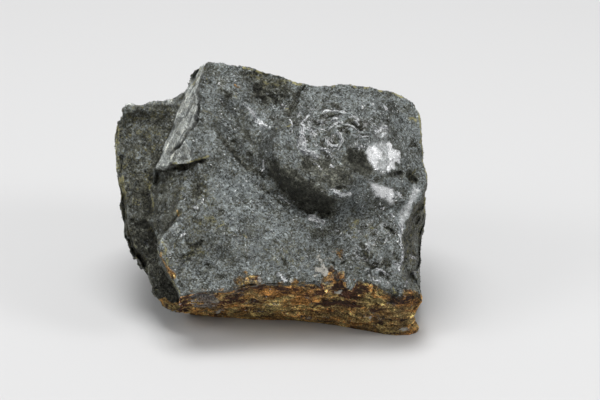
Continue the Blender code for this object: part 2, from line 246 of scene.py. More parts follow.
# %% Make the tools that follow lines and outlines
def follow(x, v, line):
    """Distance to a line of (x, v) points, the side (+1 on its left), and the share along it."""
    knots = np.array(line, float)
    strides = np.diff(knots, axis=0)
    lengths = np.hypot(strides[:, 0], strides[:, 1])
    starts = np.concatenate([[0.0], np.cumsum(lengths)])
    gap = np.full(x.shape, np.inf)
    side = np.ones(x.shape)
    share = np.zeros(x.shape)
    for i, (way, length) in enumerate(zip(strides, lengths)):
        ux, uv = way / length
        dx, dv = x - knots[i, 0], v - knots[i, 1]
        along = np.clip(dx * ux + dv * uv, 0.0, length)
        new_gap = np.hypot(dx - along * ux, dv - along * uv)
        near = new_gap < gap
        gap = np.where(near, new_gap, gap)
        side = np.where(near, np.where(ux * dv - uv * dx >= 0.0, 1.0, -1.0), side)
        share = np.where(near, (starts[i] + along) / starts[-1], share)
    return gap, side, share

def island(x, v, outline, soft):
    """1 inside a closed outline and 0 outside, with a rim that is soft over so many millimetres."""
    loop = outline + outline[:1]
    inside = np.zeros(x.shape, bool)
    for (x0, v0), (x1, v1) in zip(loop, loop[1:]):
        if v0 != v1:
            inside ^= ((v0 > v) != (v1 > v)) & (x < x0 + (v - v0) * (x1 - x0) / (v1 - v0))
    gap = follow(x, v, loop)[0]
    return ramp(np.where(inside, gap, -gap), -soft, soft)

def line_at(line, v):
    """The x of a line that runs up the face, at each height v."""
    heights, places = zip(*line)
    return np.interp(v, heights, places)

print("at v = 0.5, a line from (0, 0) to (1, 4) is at x =", line_at([(0.0, 0.0), (1.0, 4.0)], 0.5))

# %% Make the tools for broken relief
CELL_TILT, CELL_GROOVE = 2.0, 0.25

def sample(function, points):
    """A function of one Vector at each point, as an array."""
    return np.array([function(Vector(point)) for point in points])

def fractal(points, size, seed, octaves=3):
    """Soft fractal relief from about -1 to 1, with lumps of one size in millimetres."""
    shift = np.array((seed, -seed, 2.0 * seed))
    return sample(lambda p: noise.fractal(p, 0.9, 2.1, octaves), points / size + shift)

def cells(points, size, seed):
    """Relief of broken facets: each cell tilts its own way, with a groove between two."""
    def tilted(spot):
        gaps, centres = noise.voronoi(spot)
        own_way = noise.noise_vector(centres[0] * 3.7)
        return CELL_TILT * (spot - centres[0]).dot(own_way) + CELL_GROOVE * (gaps[1] - gaps[0])
    shift = np.array((seed, seed, -seed))
    return sample(tilted, points / np.array(size) + shift)

def turned(points, degrees):
    """The points turned about w, so that a pattern can lie along a slant."""
    a = math.radians(degrees)
    x = points[:, 0] * math.cos(a) + points[:, 1] * math.sin(a)
    v = -points[:, 0] * math.sin(a) + points[:, 1] * math.cos(a)
    return np.stack((x, v, points[:, 2]), axis=1)

print("fractal relief at one point:", fractal(np.zeros((1, 3)), 2.0, 0.5).round(3))

# %% [markdown]
# ## Where each kind of surface lies
# The ore has several kinds of surface, and both the carving and the colours need to know where they
# are. Lines traced along the lump's edges part them: the left edge of the main block, the crease
# right of its bevelled facets, the ridge at the right, and the edge over the rusty face.

# %% Give the lines that part the surfaces
MAIN_LEFT_EDGE = [  # (v, x), from low to high
    (-26.0, -25.5), (-22.0, -26.8), (-17.6, -28.6), (-13.2, -31.5), (-10.6, -32.5), (-9.2, -32.0),
    (-6.0, -33.3), (-3.6, -34.4), (-2.6, -33.0), (3.6, -34.0), (8.1, -32.0), (10.8, -30.6),
    (14.5, -29.6), (17.7, -28.1), (22.1, -27.1), (25.6, -25.9), (28.5, -25.2), (31.0, -23.2),
]
LEFT_CREASE = [
    (-26.0, -25.0), (-17.6, -28.2), (-13.2, -31.0), (-9.2, -31.0), (-7.0, -29.0), (-2.0, -27.6),
    (8.0, -25.6), (9.6, -23.9), (13.5, -25.8), (15.9, -24.8), (18.2, -23.2), (25.6, -23.2),
    (31.0, -21.4),
]
RIGHT_RIDGE = [
    (-22.0, 26.5), (-19.0, 23.6), (-16.4, 22.5), (-12.3, 23.3), (-7.7, 22.9), (-5.3, 23.6),
    (-2.7, 25.0), (0.4, 27.2), (4.0, 28.3), (8.0, 30.0),
]
LOWER_EDGE = [  # (x, v) of the edge between the main face and the rusty face
    (-29.0, -23.0), (-26.6, -22.0), (-23.2, -20.7), (-16.3, -20.8), (-11.2, -19.3), (-2.2, -19.3),
    (3.6, -19.3), (9.4, -18.2), (15.2, -19.2), (19.0, -20.8), (21.1, -22.2), (25.0, -22.5),
    (29.0, -21.6),
]
print("4 lines part the surfaces")

# %% [markdown]
# ## Bring the forms back crisp
# Rebuilding and smoothing has rounded every ridge. The main face is close to a plane, so its whole
# shape can be told as one height over that plane, a sum of a bulge, a valley, bevels and steps. The
# points that look forward are moved to that height, and those of the rusty face to its slope.

# %% Tell the height of the bulge and of the bevelled facets
BULGE_MIDDLE, BULGE_RADII = (9.0, 12.0), (19.2, 15.5)
BULGE_HEIGHT, BULGE_CROWN = 5.8, 1.2
BULGE_FOOT_WAY = (-0.77, -0.64)  # the foot is steepest on this side
BULGE_STEEP, BULGE_GENTLE = 0.28, 0.86
UPPER_BEVEL, LOWER_BEVEL, BOTTOM_BEVEL = 5.2, 6.6, 1.2
LEDGE_V, LEDGE_STEP = (7.9, 8.5), 1.7

def bulge(x, v):
    """The rounded bulge at the upper right: a steep flank at its lower left, gentle elsewhere."""
    dx = (x - BULGE_MIDDLE[0]) / BULGE_RADII[0]
    dv = (v - BULGE_MIDDLE[1]) / BULGE_RADII[1]
    radius = np.hypot(dx, dv)
    facing = (dx * BULGE_FOOT_WAY[0] + dv * BULGE_FOOT_WAY[1]) / np.maximum(radius, 0.05)
    flank = BULGE_GENTLE + (BULGE_STEEP - BULGE_GENTLE) * ramp(facing, 0.0, 0.77)
    return BULGE_HEIGHT * ramp(radius, 1.0, 1.0 - flank) + BULGE_CROWN * ramp(radius, 1.0, 0.0)

def bevels(x, v):
    """The facets between the left crease and the left edge of the block, as a drop in w."""
    crease, edge = line_at(LEFT_CREASE, v), line_at(MAIN_LEFT_EDGE, v)
    across = np.clip((crease - x) / np.maximum(crease - edge, 0.6), 0.0, 1.0)
    upper = ramp(v, *LEDGE_V)
    low = LOWER_BEVEL * ramp(v, -12.0, -6.0) + BOTTOM_BEVEL
    ledge = LEDGE_STEP * ramp(v, -5.0, 7.0) * ramp(x, -22.4, -24.4)
    return across * (upper * UPPER_BEVEL + (1.0 - upper) * low) + (1.0 - upper) * ledge

print("the bulge stands", BULGE_HEIGHT + BULGE_CROWN, "mm proud")

# %% Tell the height of the whole front
VALLEY = [
    (-19.1, 16.6), (-10.1, 7.5), (-5.6, 2.3), (-2.3, -0.7), (2.7, -3.0), (7.9, -3.4), (14.6, -2.7),
    (22.5, -1.6),
]
SWELLS = [  # height, middle, radii, turn
    (-1.7, (-6.5, 23.0), (9.0, 5.5), -20.0),
    (-1.0, (-17.5, 22.0), (2.6, 6.0), 30.0),
    (1.3, (-16.0, 25.0), (9.0, 7.0), -30.0),
    (-1.3, (25.4, 3.6), (1.7, 3.0), 20.0),
    (1.3, (17.0, -12.5), (8.0, 5.0), -30.0),
    (2.2, (22.5, 3.0), (13.0, 9.0), 0.0),
    (-1.2, (-20.0, -14.5), (7.0, 5.0), 15.0),
    (1.1, (-10.0, -9.0), (12.0, 8.0), -25.0),
    (-1.0, (-14.0, 2.5), (7.0, 3.0), -45.0),
]
SLAB_RIM = [  # (v, x), from low to high
    (-24.0, -31.0), (-19.4, -34.0), (-13.0, -35.0), (-9.0, -38.0), (-4.3, -39.2), (2.8, -40.0),
    (7.5, -40.9), (13.3, -41.6), (19.1, -42.0), (26.0, -42.0),
]
RIM_PLATES = [(0.0, 1.6), (-0.75, 1.6), (-1.3, 2.0)]  # place left of the rim, and step down

def slab_height(x, v):
    """The set-back slab at the left, and the thin plates that step down at its rim."""
    height = -9.0 + 0.22 * (x + 34.0) + 0.05 * v
    for offset, drop in RIM_PLATES:
        rim = line_at(SLAB_RIM, v) + offset
        height = height - drop * ramp(x, rim, rim - 0.3)
    return height

def front_height(x, v):
    """Height w of the lump's front over the plane of its main face."""
    height = -0.06 * v + bulge(x, v) - bevels(x, v)
    height = height - 0.8 * ramp(follow(x, v, VALLEY)[0], 2.4, 0.0)
    for lift, middle, radii, turn in SWELLS:
        height = height + lift * patch(x, v, middle, radii, turn)
    height = height - 1.2 * ramp(v, 23.0, 30.0) - 0.02 * np.maximum(x - 14.0, 0.0) ** 2
    height = height - 2.4 * np.maximum(x - line_at(RIGHT_RIDGE, v), 0.0)
    inside = np.maximum(ramp(x - line_at(MAIN_LEFT_EDGE, v), -0.3, 0.3), ramp(v, 20.5, 22.0))
    return inside * height + (1.0 - inside) * slab_height(x, v)

print("the front's height is a sum of the bulge, the bevels and", len(SWELLS), "swells")

# %% Tell the slope of the rusty face
RUSTY_SLOPE = [  # x, v where it meets the main face's plane, and its fall in v with depth
    (-60.0, -60.0, 0.0), (-31.0, -29.0, 0.02), (-28.4, -24.0, 0.05), (-26.4, -22.0, 0.09),
    (-22.3, -21.2, 0.17), (-16.3, -20.6, 0.23), (-11.2, -19.6, 0.32), (-2.2, -19.3, 0.355),
    (3.6, -19.1, 0.42), (9.4, -18.6, 0.55), (15.2, -19.3, 0.66), (19.0, -20.8, 0.66),
    (22.0, -21.2, 0.69), (25.0, -20.2, 0.74), (28.0, -18.2, 0.74), (50.0, -18.0, 0.74),
]

def rusty_v(x, w):
    """The v of the rusty face at each x and depth."""
    places, starts, falls = zip(*RUSTY_SLOPE)
    return np.interp(x, places, starts) + np.interp(x, places, falls) * w

print("under x = 0 the rusty face starts at v =", round(float(rusty_v(0.0, 0.0)), 1))

# %% Move the points to those forms
FARTHEST = 2.6  # a point further than this from its form is left, as on the block's left wall
FARTHEST_RIM = 5.5  # but on the slab's rim, where the plates are thin, this much
SLAB_CORNER = (-43.4, 23.8)
SLANT = 0.14  # the ends below are cut square to a slant that sinks this much for each mm of depth
SLAB_FOOT = [(-60.0, -60.0), (-36.0, -21.0), (-32.1, -23.4), (-31.4, -24.5), (-29.6, -25.1), (-26.5, -25.3),
             (-25.5, -27.0), (-24.5, -60.0)]  # (x, lowest v) of the slab's lower end
RIGHT_END = [(-31.5, 26.0), (-29.8, 27.2), (-29.1, 27.0), (-27.7, 26.1), (-26.4, 25.5), (-25.3, 25.5),
             (-24.4, 26.2), (-23.7, 27.1), (-22.8, 28.6), (-22.0, 60.0)]  # (v, furthest x)
CUT_SHARE = 0.2  # what stands past those ends keeps this share of its reach
ROUNDS = 3

def place_points(points):
    """Puts the net's points in the given places, and gives those and the normals back."""
    ore.data.vertices.foreach_set("co", to_world(points).ravel())
    ore.data.update()
    return net_arrays(ore.data)

def settle(points, normals):
    """Moves forward-looking points to the front's height, and those below to the rusty slope."""
    x, v, w = points.T.copy()
    lift = front_height(x, v) - w
    limit = np.where(x < -38.0, FARTHEST_RIM, FARTHEST)
    foot = np.maximum(ramp(v, -22.0, -20.0), ramp(x, -29.5, -28.0))  # not the slab's lower end
    w += lift * ramp(normals[:, 2], 0.15, 0.45) * ramp(np.abs(lift) / limit, 1.0, 0.7) * foot
    shift = rusty_v(x, w) - v
    v += shift * ramp(-normals[:, 1], 0.3, 0.6) * ramp(np.abs(shift), 2.4, 1.6) * ramp(w, -34.0, -24.0)
    slanted_v = v + SLANT * w
    v += (1.0 - CUT_SHARE) * np.maximum(np.interp(x, *zip(*SLAB_FOOT)) - slanted_v, 0.0)
    past = np.maximum(x - np.interp(slanted_v, *zip(*RIGHT_END)), 0.0) * (slanted_v > -31.0)
    x -= (1.0 - CUT_SHARE) * past * ramp(w, -32.0, -24.0)
    return np.stack((x, v, w), axis=1)

def square_corner(points):
    """Draws the slab's top left corner out to a right angle."""
    x, v, w = points.T.copy()
    near = patch(x, v, SLAB_CORNER, (3.6, 3.2)) * ramp(w, -24.0, -18.0)
    x -= 1.4 * near
    v += 0.9 * near
    return np.stack((x, v, w), axis=1)

points, normals = net_arrays(ore.data)
points = square_corner(points)
for turn in range(ROUNDS):
    points, normals = place_points(settle(points, normals))
    if turn < ROUNDS - 1:
        apply_modifier(ore, "SMOOTH", factor=0.5, iterations=2)
        points, normals = net_arrays(ore.data)

def bevel_reach(v):
    """How far the upper bevel is drawn out to the left, over the slab."""
    return 0.95 * ramp(v, 5.0, 8.5) * ramp(v, 31.0, 19.0)

x, v, w = points.T.copy()
near_edge = ramp(np.abs(x - line_at(MAIN_LEFT_EDGE, v) + 0.4), 3.6, 0.8) * ramp(w, -12.0, -8.5)
points = square_corner(np.stack((x - bevel_reach(v) * near_edge, v, w), axis=1))
points, normals = place_points(points)
print("the net now reaches from w =", round(points[:, 2].min(), 1), "to", round(points[:, 2].max(), 1), "mm")

# %% Part the surfaces
x, v, w = points.T
wander = np.stack([fractal(points, 2.6, seed, 2) for seed in (2.2, 4.6)], axis=1)
wx, wv = x + 0.45 * wander[:, 0], v + 0.45 * wander[:, 1]  # wavers as a broken edge does
edge_x, crease_x = line_at(MAIN_LEFT_EDGE, wv) - bevel_reach(wv), line_at(LEFT_CREASE, wv)
ridge_x = line_at(RIGHT_RIDGE, wv)
edge_v = np.interp(wx, *zip(*LOWER_EDGE))

forward = ramp(normals[:, 2], 0.05, 0.45)
below = ramp(wv, edge_v + 0.4, edge_v - 0.4) * ramp(wx, -29.5, -27.0)
on_block = ramp(wx - edge_x, -0.4, 0.3) * (1.0 - below)
on_slab = (1.0 - ramp(wx - edge_x, -0.9, -0.3)) * forward * ramp(w, -3.0, -5.0)
on_bevel = on_block * ramp(crease_x - wx, -0.2, 0.3) * ramp(w, -14.0, -9.0)
on_main = on_block * (1.0 - on_bevel) * forward * ramp(ridge_x - wx, -0.3, 0.3)
on_rust = below * ramp(normals[:, 1] + 0.4 * normals[:, 2], 0.35, -0.1) * ramp(w, -34.0, -22.0)
on_wedge = on_block * ramp(wx - ridge_x, -0.3, 0.3) * ramp(w, -12.0, -8.0)
elsewhere = np.clip(1.0 - on_slab - on_bevel - on_main - on_rust - on_wedge, 0.0, 1.0)
for kind, mask in [("slab", on_slab), ("bevel", on_bevel), ("main", on_main), ("rusty", on_rust),
                   ("wedge", on_wedge), ("elsewhere", elsewhere)]:
    print(f"{kind:10s} {100.0 * mask.mean():5.1f} % of the net's points")

# %% [markdown]
# ## Polished places
# Where one blade mass slid along another, the ore is smooth and shines: the dark hollow flank of the
# bulge, a flat spot in its middle, and the pale patches at its right. Grain is kept off these places.
# The dark of the flank is painted shade, and the pale of the patches is a painted highlight.

# %% Mark the polished places
CRESCENT = [
    (-7.2, 8.9), (-5.4, 7.4), (-2.7, 6.0), (0.0, 4.6), (2.7, 3.3), (5.4, 1.4), (7.6, -0.6), (8.1, -2.7),
    (5.8, -3.1), (2.7, -2.3), (0.0, -0.9), (-2.7, 1.1), (-5.0, 3.4), (-6.8, 5.9),
]
FLAT_SPOT = [
    (10.3, 9.8), (11.6, 11.0), (13.6, 10.6), (14.5, 9.0), (15.4, 7.1), (16.6, 5.9), (14.8, 5.1),
    (12.1, 5.6), (10.0, 7.5),
]
BULGE_MIDST = [
    (0.0, 10.5), (3.6, 8.7), (6.7, 8.2), (9.8, 6.9), (11.6, 4.7), (10.0, 2.5), (7.1, 2.2), (4.0, 3.7),
    (0.4, 6.0),
]
# These polished outlines also carry painted highlights, laid on by the silvery and pale masks.
BRIGHT_GROUND = [
    (15.4, 11.6), (17.0, 12.8), (19.3, 13.1), (21.2, 11.7), (22.1, 9.5), (21.1, 6.6), (18.8, 5.3),
    (16.6, 6.1), (15.2, 8.4),
]
PEARLY = [
    (15.9, 3.3), (17.9, 2.9), (19.8, 2.9), (21.1, 2.1), (21.7, 0.6), (20.7, -0.5), (19.1, -0.1),
    (17.5, 0.7), (16.4, 2.0),
]
LIGHT_BAND = [
    (25.2, 3.3), (24.3, 0.8), (23.2, -1.4), (22.1, -3.7), (21.7, -6.3), (22.5, -7.6), (23.2, -6.9),
    (24.1, -4.3), (25.5, -1.4), (26.7, 1.0), (27.6, 3.1), (26.4, 3.7),
]

def spread(islands, across=None, up=None):
    """The strongest of several islands at each point: (strength, soft rim, outline)."""
    mask = np.zeros(len(points))
    for strength, soft, outline in islands:
        here = island(wx if across is None else across, wv if up is None else up, outline, soft)
        mask = np.maximum(mask, strength * here)
    return mask

POLISHED = [
    (0.6, 0.9, CRESCENT), (0.8, 0.7, FLAT_SPOT), (0.30, 1.2, BULGE_MIDST), (0.95, 0.8, BRIGHT_GROUND),
    (0.85, 0.8, PEARLY), (0.85, 0.6, LIGHT_BAND),
]
polish = spread(POLISHED) * on_main
print("polished:", round(100.0 * polish.mean(), 1), "%")

# %% Mark the silvery patches, with their painted highlights
# Polished patches, painted near white as the highlights of the lamps on them.
SILVER_HIGHLIGHT_PATCHES = [
    (1.0, 0.5, [(14.5, 9.7), (15.4, 11.6), (16.3, 11.9), (17.2, 11.0), (18.4, 10.5), (18.6, 9.1),
                (17.7, 8.6), (17.2, 7.4), (17.9, 6.4), (17.0, 6.1), (15.9, 6.9), (15.0, 8.4)]),
    (1.15, 0.4, [(19.5, 13.0), (20.5, 12.1), (20.9, 11.5), (22.1, 11.1), (22.9, 9.6), (22.8, 8.4),
                 (21.8, 8.3), (21.5, 7.1), (20.8, 6.4), (19.7, 5.7), (19.5, 6.7), (20.2, 8.1),
                 (20.0, 9.7), (19.8, 11.3)]),
    (0.46, 1.0, BRIGHT_GROUND),
    (0.95, 0.9, PEARLY),
    (1.1, 0.4, [(20.0, 2.5), (21.0, 2.3), (21.5, 0.8), (20.7, -0.3), (19.5, 0.1), (19.8, 1.4)]),
    (0.9, 0.4, [(17.3, 2.0), (18.6, 1.8), (18.5, 0.9), (17.5, 1.1)]),
    (0.36, 1.0, [(16.4, 15.8), (18.7, 17.2), (20.3, 15.9), (19.8, 13.4), (17.5, 12.9), (15.9, 13.9)]),
    (0.50, 0.8, LIGHT_BAND),
    (0.75, 0.4, [(0.2, 10.9), (1.8, 10.6), (3.2, 10.0), (4.0, 9.0), (3.4, 8.6), (1.6, 9.4), (0.2, 10.0)]),
    (1.0, 0.3, [(1.8, -3.8), (3.8, -4.0), (5.6, -5.0), (5.3, -5.4), (3.6, -4.7), (2.0, -4.2)]),
    (0.75, 0.3, [(0.2, 14.4), (0.6, 14.9), (1.4, 13.2), (1.4, 11.2), (0.4, 11.3), (-0.4, 12.0)]),
]

# %% Mark the silvery wisps and glints, painted highlights
SILVER_GLINT_WISPS = [  # strength, width, line
    (0.8, 0.45, [(1.9, 19.1), (1.1, 17.7), (0.4, 16.3), (0.9, 15.1)]),
    (1.0, 0.50, [(0.4, 15.0), (0.2, 13.6), (0.9, 13.1)]),
    (0.8, 0.40, [(0.2, 14.5), (1.5, 12.8), (1.3, 11.2)]),
    (0.9, 0.30, [(-0.2, 12.9), (-0.7, 10.9)]),
    (1.0, 0.60, [(0.4, 10.5), (1.7, 10.1), (3.0, 9.6), (3.8, 8.8)]),
    (0.6, 0.35, [(-2.4, 18.3), (-1.9, 16.6), (-1.9, 14.4)]),
    (0.7, 0.35, [(8.4, 14.5), (9.5, 13.9), (9.7, 12.4), (8.8, 10.5)]),
    (0.7, 0.35, [(6.1, 12.9), (6.2, 12.0), (7.1, 11.5), (8.4, 11.4)]),
    (0.9, 0.50, [(7.7, 19.9), (9.0, 19.8), (10.1, 19.3)]),
    (0.7, 0.45, [(7.7, 17.5), (9.2, 18.0)]),
    (0.7, 0.45, [(6.5, 15.7), (6.9, 16.1), (7.7, 16.3)]),
    (0.6, 0.40, [(4.5, 10.5), (5.8, 10.5), (6.9, 9.3), (7.1, 8.8)]),
    (0.6, 0.50, [(5.6, 19.8), (6.8, 20.0), (7.7, 19.8)]),
    (0.6, 0.40, [(2.0, 15.8), (2.9, 14.5), (3.8, 13.7)]),
    (0.6, 0.40, [(11.9, 18.6), (12.8, 17.9), (13.2, 17.0)]),
    (0.6, 0.35, [(13.7, 13.8), (14.8, 13.6), (15.2, 13.7)]),
    (0.6, 0.35, [(12.3, 11.1), (13.6, 11.2)]),
    (1.1, 0.45, [(22.1, 1.8), (22.7, 0.7)]),
    (1.0, 0.50, [(2.2, -3.6), (3.6, -3.9), (5.2, -4.6)]),
    (0.7, 0.45, [(7.1, 1.5), (8.3, 0.8), (9.7, 0.6), (11.2, 1.0)]),
    (0.7, 0.60, [(-11.7, 21.1), (-10.7, 19.8), (-9.7, 18.5)]),
    (0.8, 0.60, [(-9.7, 18.5), (-8.6, 17.5), (-7.7, 16.8)]),
    (0.6, 0.40, [(-4.1, 22.5), (-3.7, 21.3)]),
    (0.6, 0.35, [(-8.2, 8.4), (-8.1, 7.2)]),
    (0.5, 0.40, [(3.8, 17.5), (4.9, 16.7), (6.1, 17.1)]),
    (0.5, 0.40, [(2.2, 8.2), (3.6, 7.5), (4.9, 6.2)]),
    (0.5, 0.40, [(10.5, 16.3), (11.6, 15.8), (12.3, 14.9)]),
    (0.5, 0.40, [(-4.7, 1.3), (-3.4, -0.1), (-1.8, -1.1)]),
    (1.1, 0.60, [(22.6, -5.6), (22.8, -8.2), (23.3, -10.8), (23.2, -13.2), (22.6, -15.6)]),
]
# The glints are painted highlights: bright points laid into the colour.
GLINTS = [  # strength, half width, line: single bright places
    (1.0, 0.23, [(2.7, -3.6), (3.6, -3.7), (4.3, -4.1), (4.9, -4.6)]),
    (0.7, 0.16, [(3.6, -6.0), (4.0, -5.7)]), (0.7, 0.16, [(4.5, -6.2), (4.9, -6.7)]),
    (0.7, 0.16, [(7.9, -6.9), (8.5, -7.1)]), (0.7, 0.16, [(9.2, -7.6), (9.4, -7.7)]),
    (0.8, 0.16, [(18.0, -0.9), (18.1, -1.1)]), (0.8, 0.16, [(18.7, -1.7), (18.8, -1.9)]),
    (0.8, 0.16, [(20.5, -3.3), (20.7, -3.6)]), (0.8, 0.16, [(21.5, -14.5), (22.2, -14.7)]),
    (1.0, 0.18, [(25.9, -15.8), (27.0, -14.9)]), (1.0, 0.18, [(23.8, -19.4), (24.1, -18.2)]),
    (0.9, 0.32, [(24.9, -12.0), (26.0, -12.2)]), (0.8, 0.18, [(-21.8, 0.2), (-21.7, -0.2)]),
    (0.7, 0.27, [(-23.6, -1.3), (-23.2, -1.9)]), (0.7, 0.20, [(-26.7, -8.4), (-26.0, -7.7)]),
    (0.7, 0.16, [(-8.2, 9.1), (-8.1, 8.0)]), (1.0, 0.25, [(-3.8, -17.6), (-3.1, -18.2)]),
    (0.7, 0.23, [(-4.9, -16.8), (-4.2, -17.1)]), (0.9, 0.20, [(16.1, 21.8), (16.3, 21.6)]),
    (0.9, 0.20, [(18.8, 21.5), (19.5, 20.8)]), (0.8, 0.18, [(13.8, 21.0), (14.2, 20.6)]),
    (0.9, 0.27, [(18.2, 15.6), (19.2, 16.2)]), (1.0, 0.25, [(18.4, 14.0), (19.1, 14.7)]),
    (0.8, 0.18, [(16.8, 14.9), (17.5, 15.2)]), (0.9, 0.20, [(13.0, 17.9), (13.1, 17.4)]),
    (0.9, 0.18, [(12.6, 16.9), (13.2, 16.0)]), (0.9, 0.25, [(8.3, 19.9), (9.0, 19.8), (9.9, 19.1)]),
    (0.8, 0.18, [(7.8, 16.6), (9.2, 16.7)]), (0.7, 0.18, [(4.5, 14.9), (5.4, 14.8)]),
    (0.9, 0.18, [(6.1, 12.5), (6.5, 11.6), (7.6, 11.4), (8.3, 11.5)]),
    (0.8, 0.18, [(9.2, 13.9), (9.6, 13.0), (9.5, 12.1)]), (0.9, 0.18, [(13.0, 11.2), (13.9, 11.1)]),
    (0.8, 0.20, [(4.7, 10.6), (6.3, 10.6)]), (1.0, 0.32, [(0.4, 10.3), (1.6, 9.7), (2.9, 9.8)]),
    (0.9, 0.20, [(3.6, 8.9), (4.0, 8.8)]), (0.7, 0.18, [(6.5, 15.3), (6.8, 16.3)]),
    (0.6, 0.20, [(6.7, 7.1), (7.4, 6.6)]), (0.8, 0.23, [(17.0, -16.0), (17.9, -16.0), (19.2, -16.8)]),
    (0.7, 0.18, [(16.3, -18.4), (17.7, -18.5)]),
]

def streak(lines):
    """The strongest of several lines at each point: (strength, width, line)."""
    mask = np.zeros(len(points))
    for strength, width, line in lines:
        mask = np.maximum(mask, strength * ramp(follow(wx, wv, line)[0], width, 0.0))
    return mask

def widened(lines, factor, stronger=0.0):
    """The same lines, wider and stronger."""
    return [(strength + stronger, factor * width, line) for strength, width, line in lines]

def way_of(lines):
    """The way, in degrees, of the line that is nearest to each point."""
    nearest, way = np.full(len(points), np.inf), np.zeros(len(points))
    for strength, width, line in lines:
        for start, end in zip(line, line[1:]):
            gap = follow(wx, wv, [start, end])[0]
            angle = math.degrees(math.atan2(end[1] - start[1], end[0] - start[0]))
            way = np.where(gap < nearest, angle, way)
            nearest = np.minimum(nearest, gap)
    return way

# The material paints many small wisps here as highlights.
GLINTING_PLACES = [  # places where many small wisps shine
    (0.85, 1.5, [(-1.8, 20.3), (2.3, 21.3), (10.1, 21.3), (15.3, 18.4), (16.2, 13.2), (14.9, 10.8),
                 (10.1, 10.8), (6.8, 7.3), (4.1, 8.4), (0.0, 10.3), (-1.8, 14.2)]),
    (0.7, 1.5, [(-12.5, 22.0), (-9.5, 22.0), (-6.0, 16.0), (-7.5, 14.5), (-11.0, 17.5)]),
    (0.7, 1.5, [(14.0, 22.0), (20.0, 22.5), (20.0, 14.0), (16.5, 14.0)]),
    (0.8, 2.0, [(13.0, -4.0), (22.0, -5.0), (25.0, -13.0), (26.0, -20.0), (14.0, -19.0), (10.0, -12.0)]),
]
fringe = np.stack([fractal(points, 1.3, seed, 2) for seed in (5.5, 7.1)], axis=1)
mx, mv = wx + 0.45 * fringe[:, 0], wv + 0.45 * fringe[:, 1]  # wavers finely, as a patch's rim does
wisps = streak(widened(SILVER_GLINT_WISPS, 1.6)) * on_main
sparks = streak(widened(GLINTS, 2.0)) * forward
# Painted highlight: the sheen mask paints these patches near white.
sheen = spread(SILVER_HIGHLIGHT_PATCHES, mx, mv) * on_main
# silver_glint: the wisps and glints, painted near white as highlights.
silver_glint = most(ramp(streak(SILVER_GLINT_WISPS), 0.0, 0.75) * on_main, ramp(sparks, 0.0, 0.55))
glinting = spread(GLINTING_PLACES) * on_main
print("silvery:", round(100.0 * (np.maximum(silver_glint, sheen) > 0.4).mean(), 1), "%")

# %% [markdown]
# ## Carve the small forms
# A crack is a narrow groove. A scarp is the edge of a layer that has flaked off: the ground stands
# up on one side of a line and fades away from it. A pit is a small round hole.

# %% Give the cracks and the scarps
CRACKS = [  # depth, width, line of (x, v)
    (0.9, 0.5, [(-21.4, 32.0), (-22.6, 28.6), (-23.3, 25.5), (-23.0, 21.5), (-23.4, 18.3),
                (-25.1, 16.0), (-26.1, 14.0), (-27.6, 12.6), (-29.3, 11.4)]),
    (1.0, 0.9, [(-29.6, 8.7), (-27.5, 8.0), (-25.0, 8.2), (-21.6, 9.0)]),
    (0.35, 0.7, [(1.0, 26.3), (-0.5, 24.1), (-2.0, 21.2), (-3.4, 19.7)]),
    (0.55, 0.6, [(4.9, 18.2), (6.1, 18.5), (7.4, 18.7), (8.5, 18.2)]),
    (0.35, 0.8, [(-19.1, 15.9), (-16.5, 12.9), (-14.2, 10.0), (-11.6, 7.3), (-8.6, 5.8)]),
    (0.35, 0.5, [(-7.0, 5.5), (-5.6, 3.7), (-4.1, 1.9), (-2.0, 0.0), (0.7, -1.6)]),
    (0.60, 0.8, [(-27.0, -2.6), (-28.0, -3.6), (-29.3, -5.1), (-30.4, -6.8)]),
    (0.35, 0.6, [(-17.8, 25.7), (-17.0, 24.6), (-15.9, 23.6)]),
    (0.30, 0.6, [(2.9, 17.8), (4.0, 16.8), (5.8, 16.4)]),
]
SCARPS = [  # height on the left of the line, reach, line of (x, v)
    (0.5, 3.0, [(-0.6, 18.4), (-1.2, 16.2), (-0.6, 13.8), (0.8, 11.6)]),
    (0.45, 2.2, [(0.2, 11.2), (2.0, 9.8), (4.6, 9.0)]),
    (0.4, 2.0, [(4.0, 18.4), (5.4, 17.4), (8.6, 17.2), (11.4, 18.4)]),
    (0.4, 1.6, [(9.6, 14.2), (8.8, 12.2), (6.8, 11.4), (5.2, 12.4), (5.0, 14.0)]),
]
print(len(CRACKS), "cracks and", len(SCARPS), "scarps")

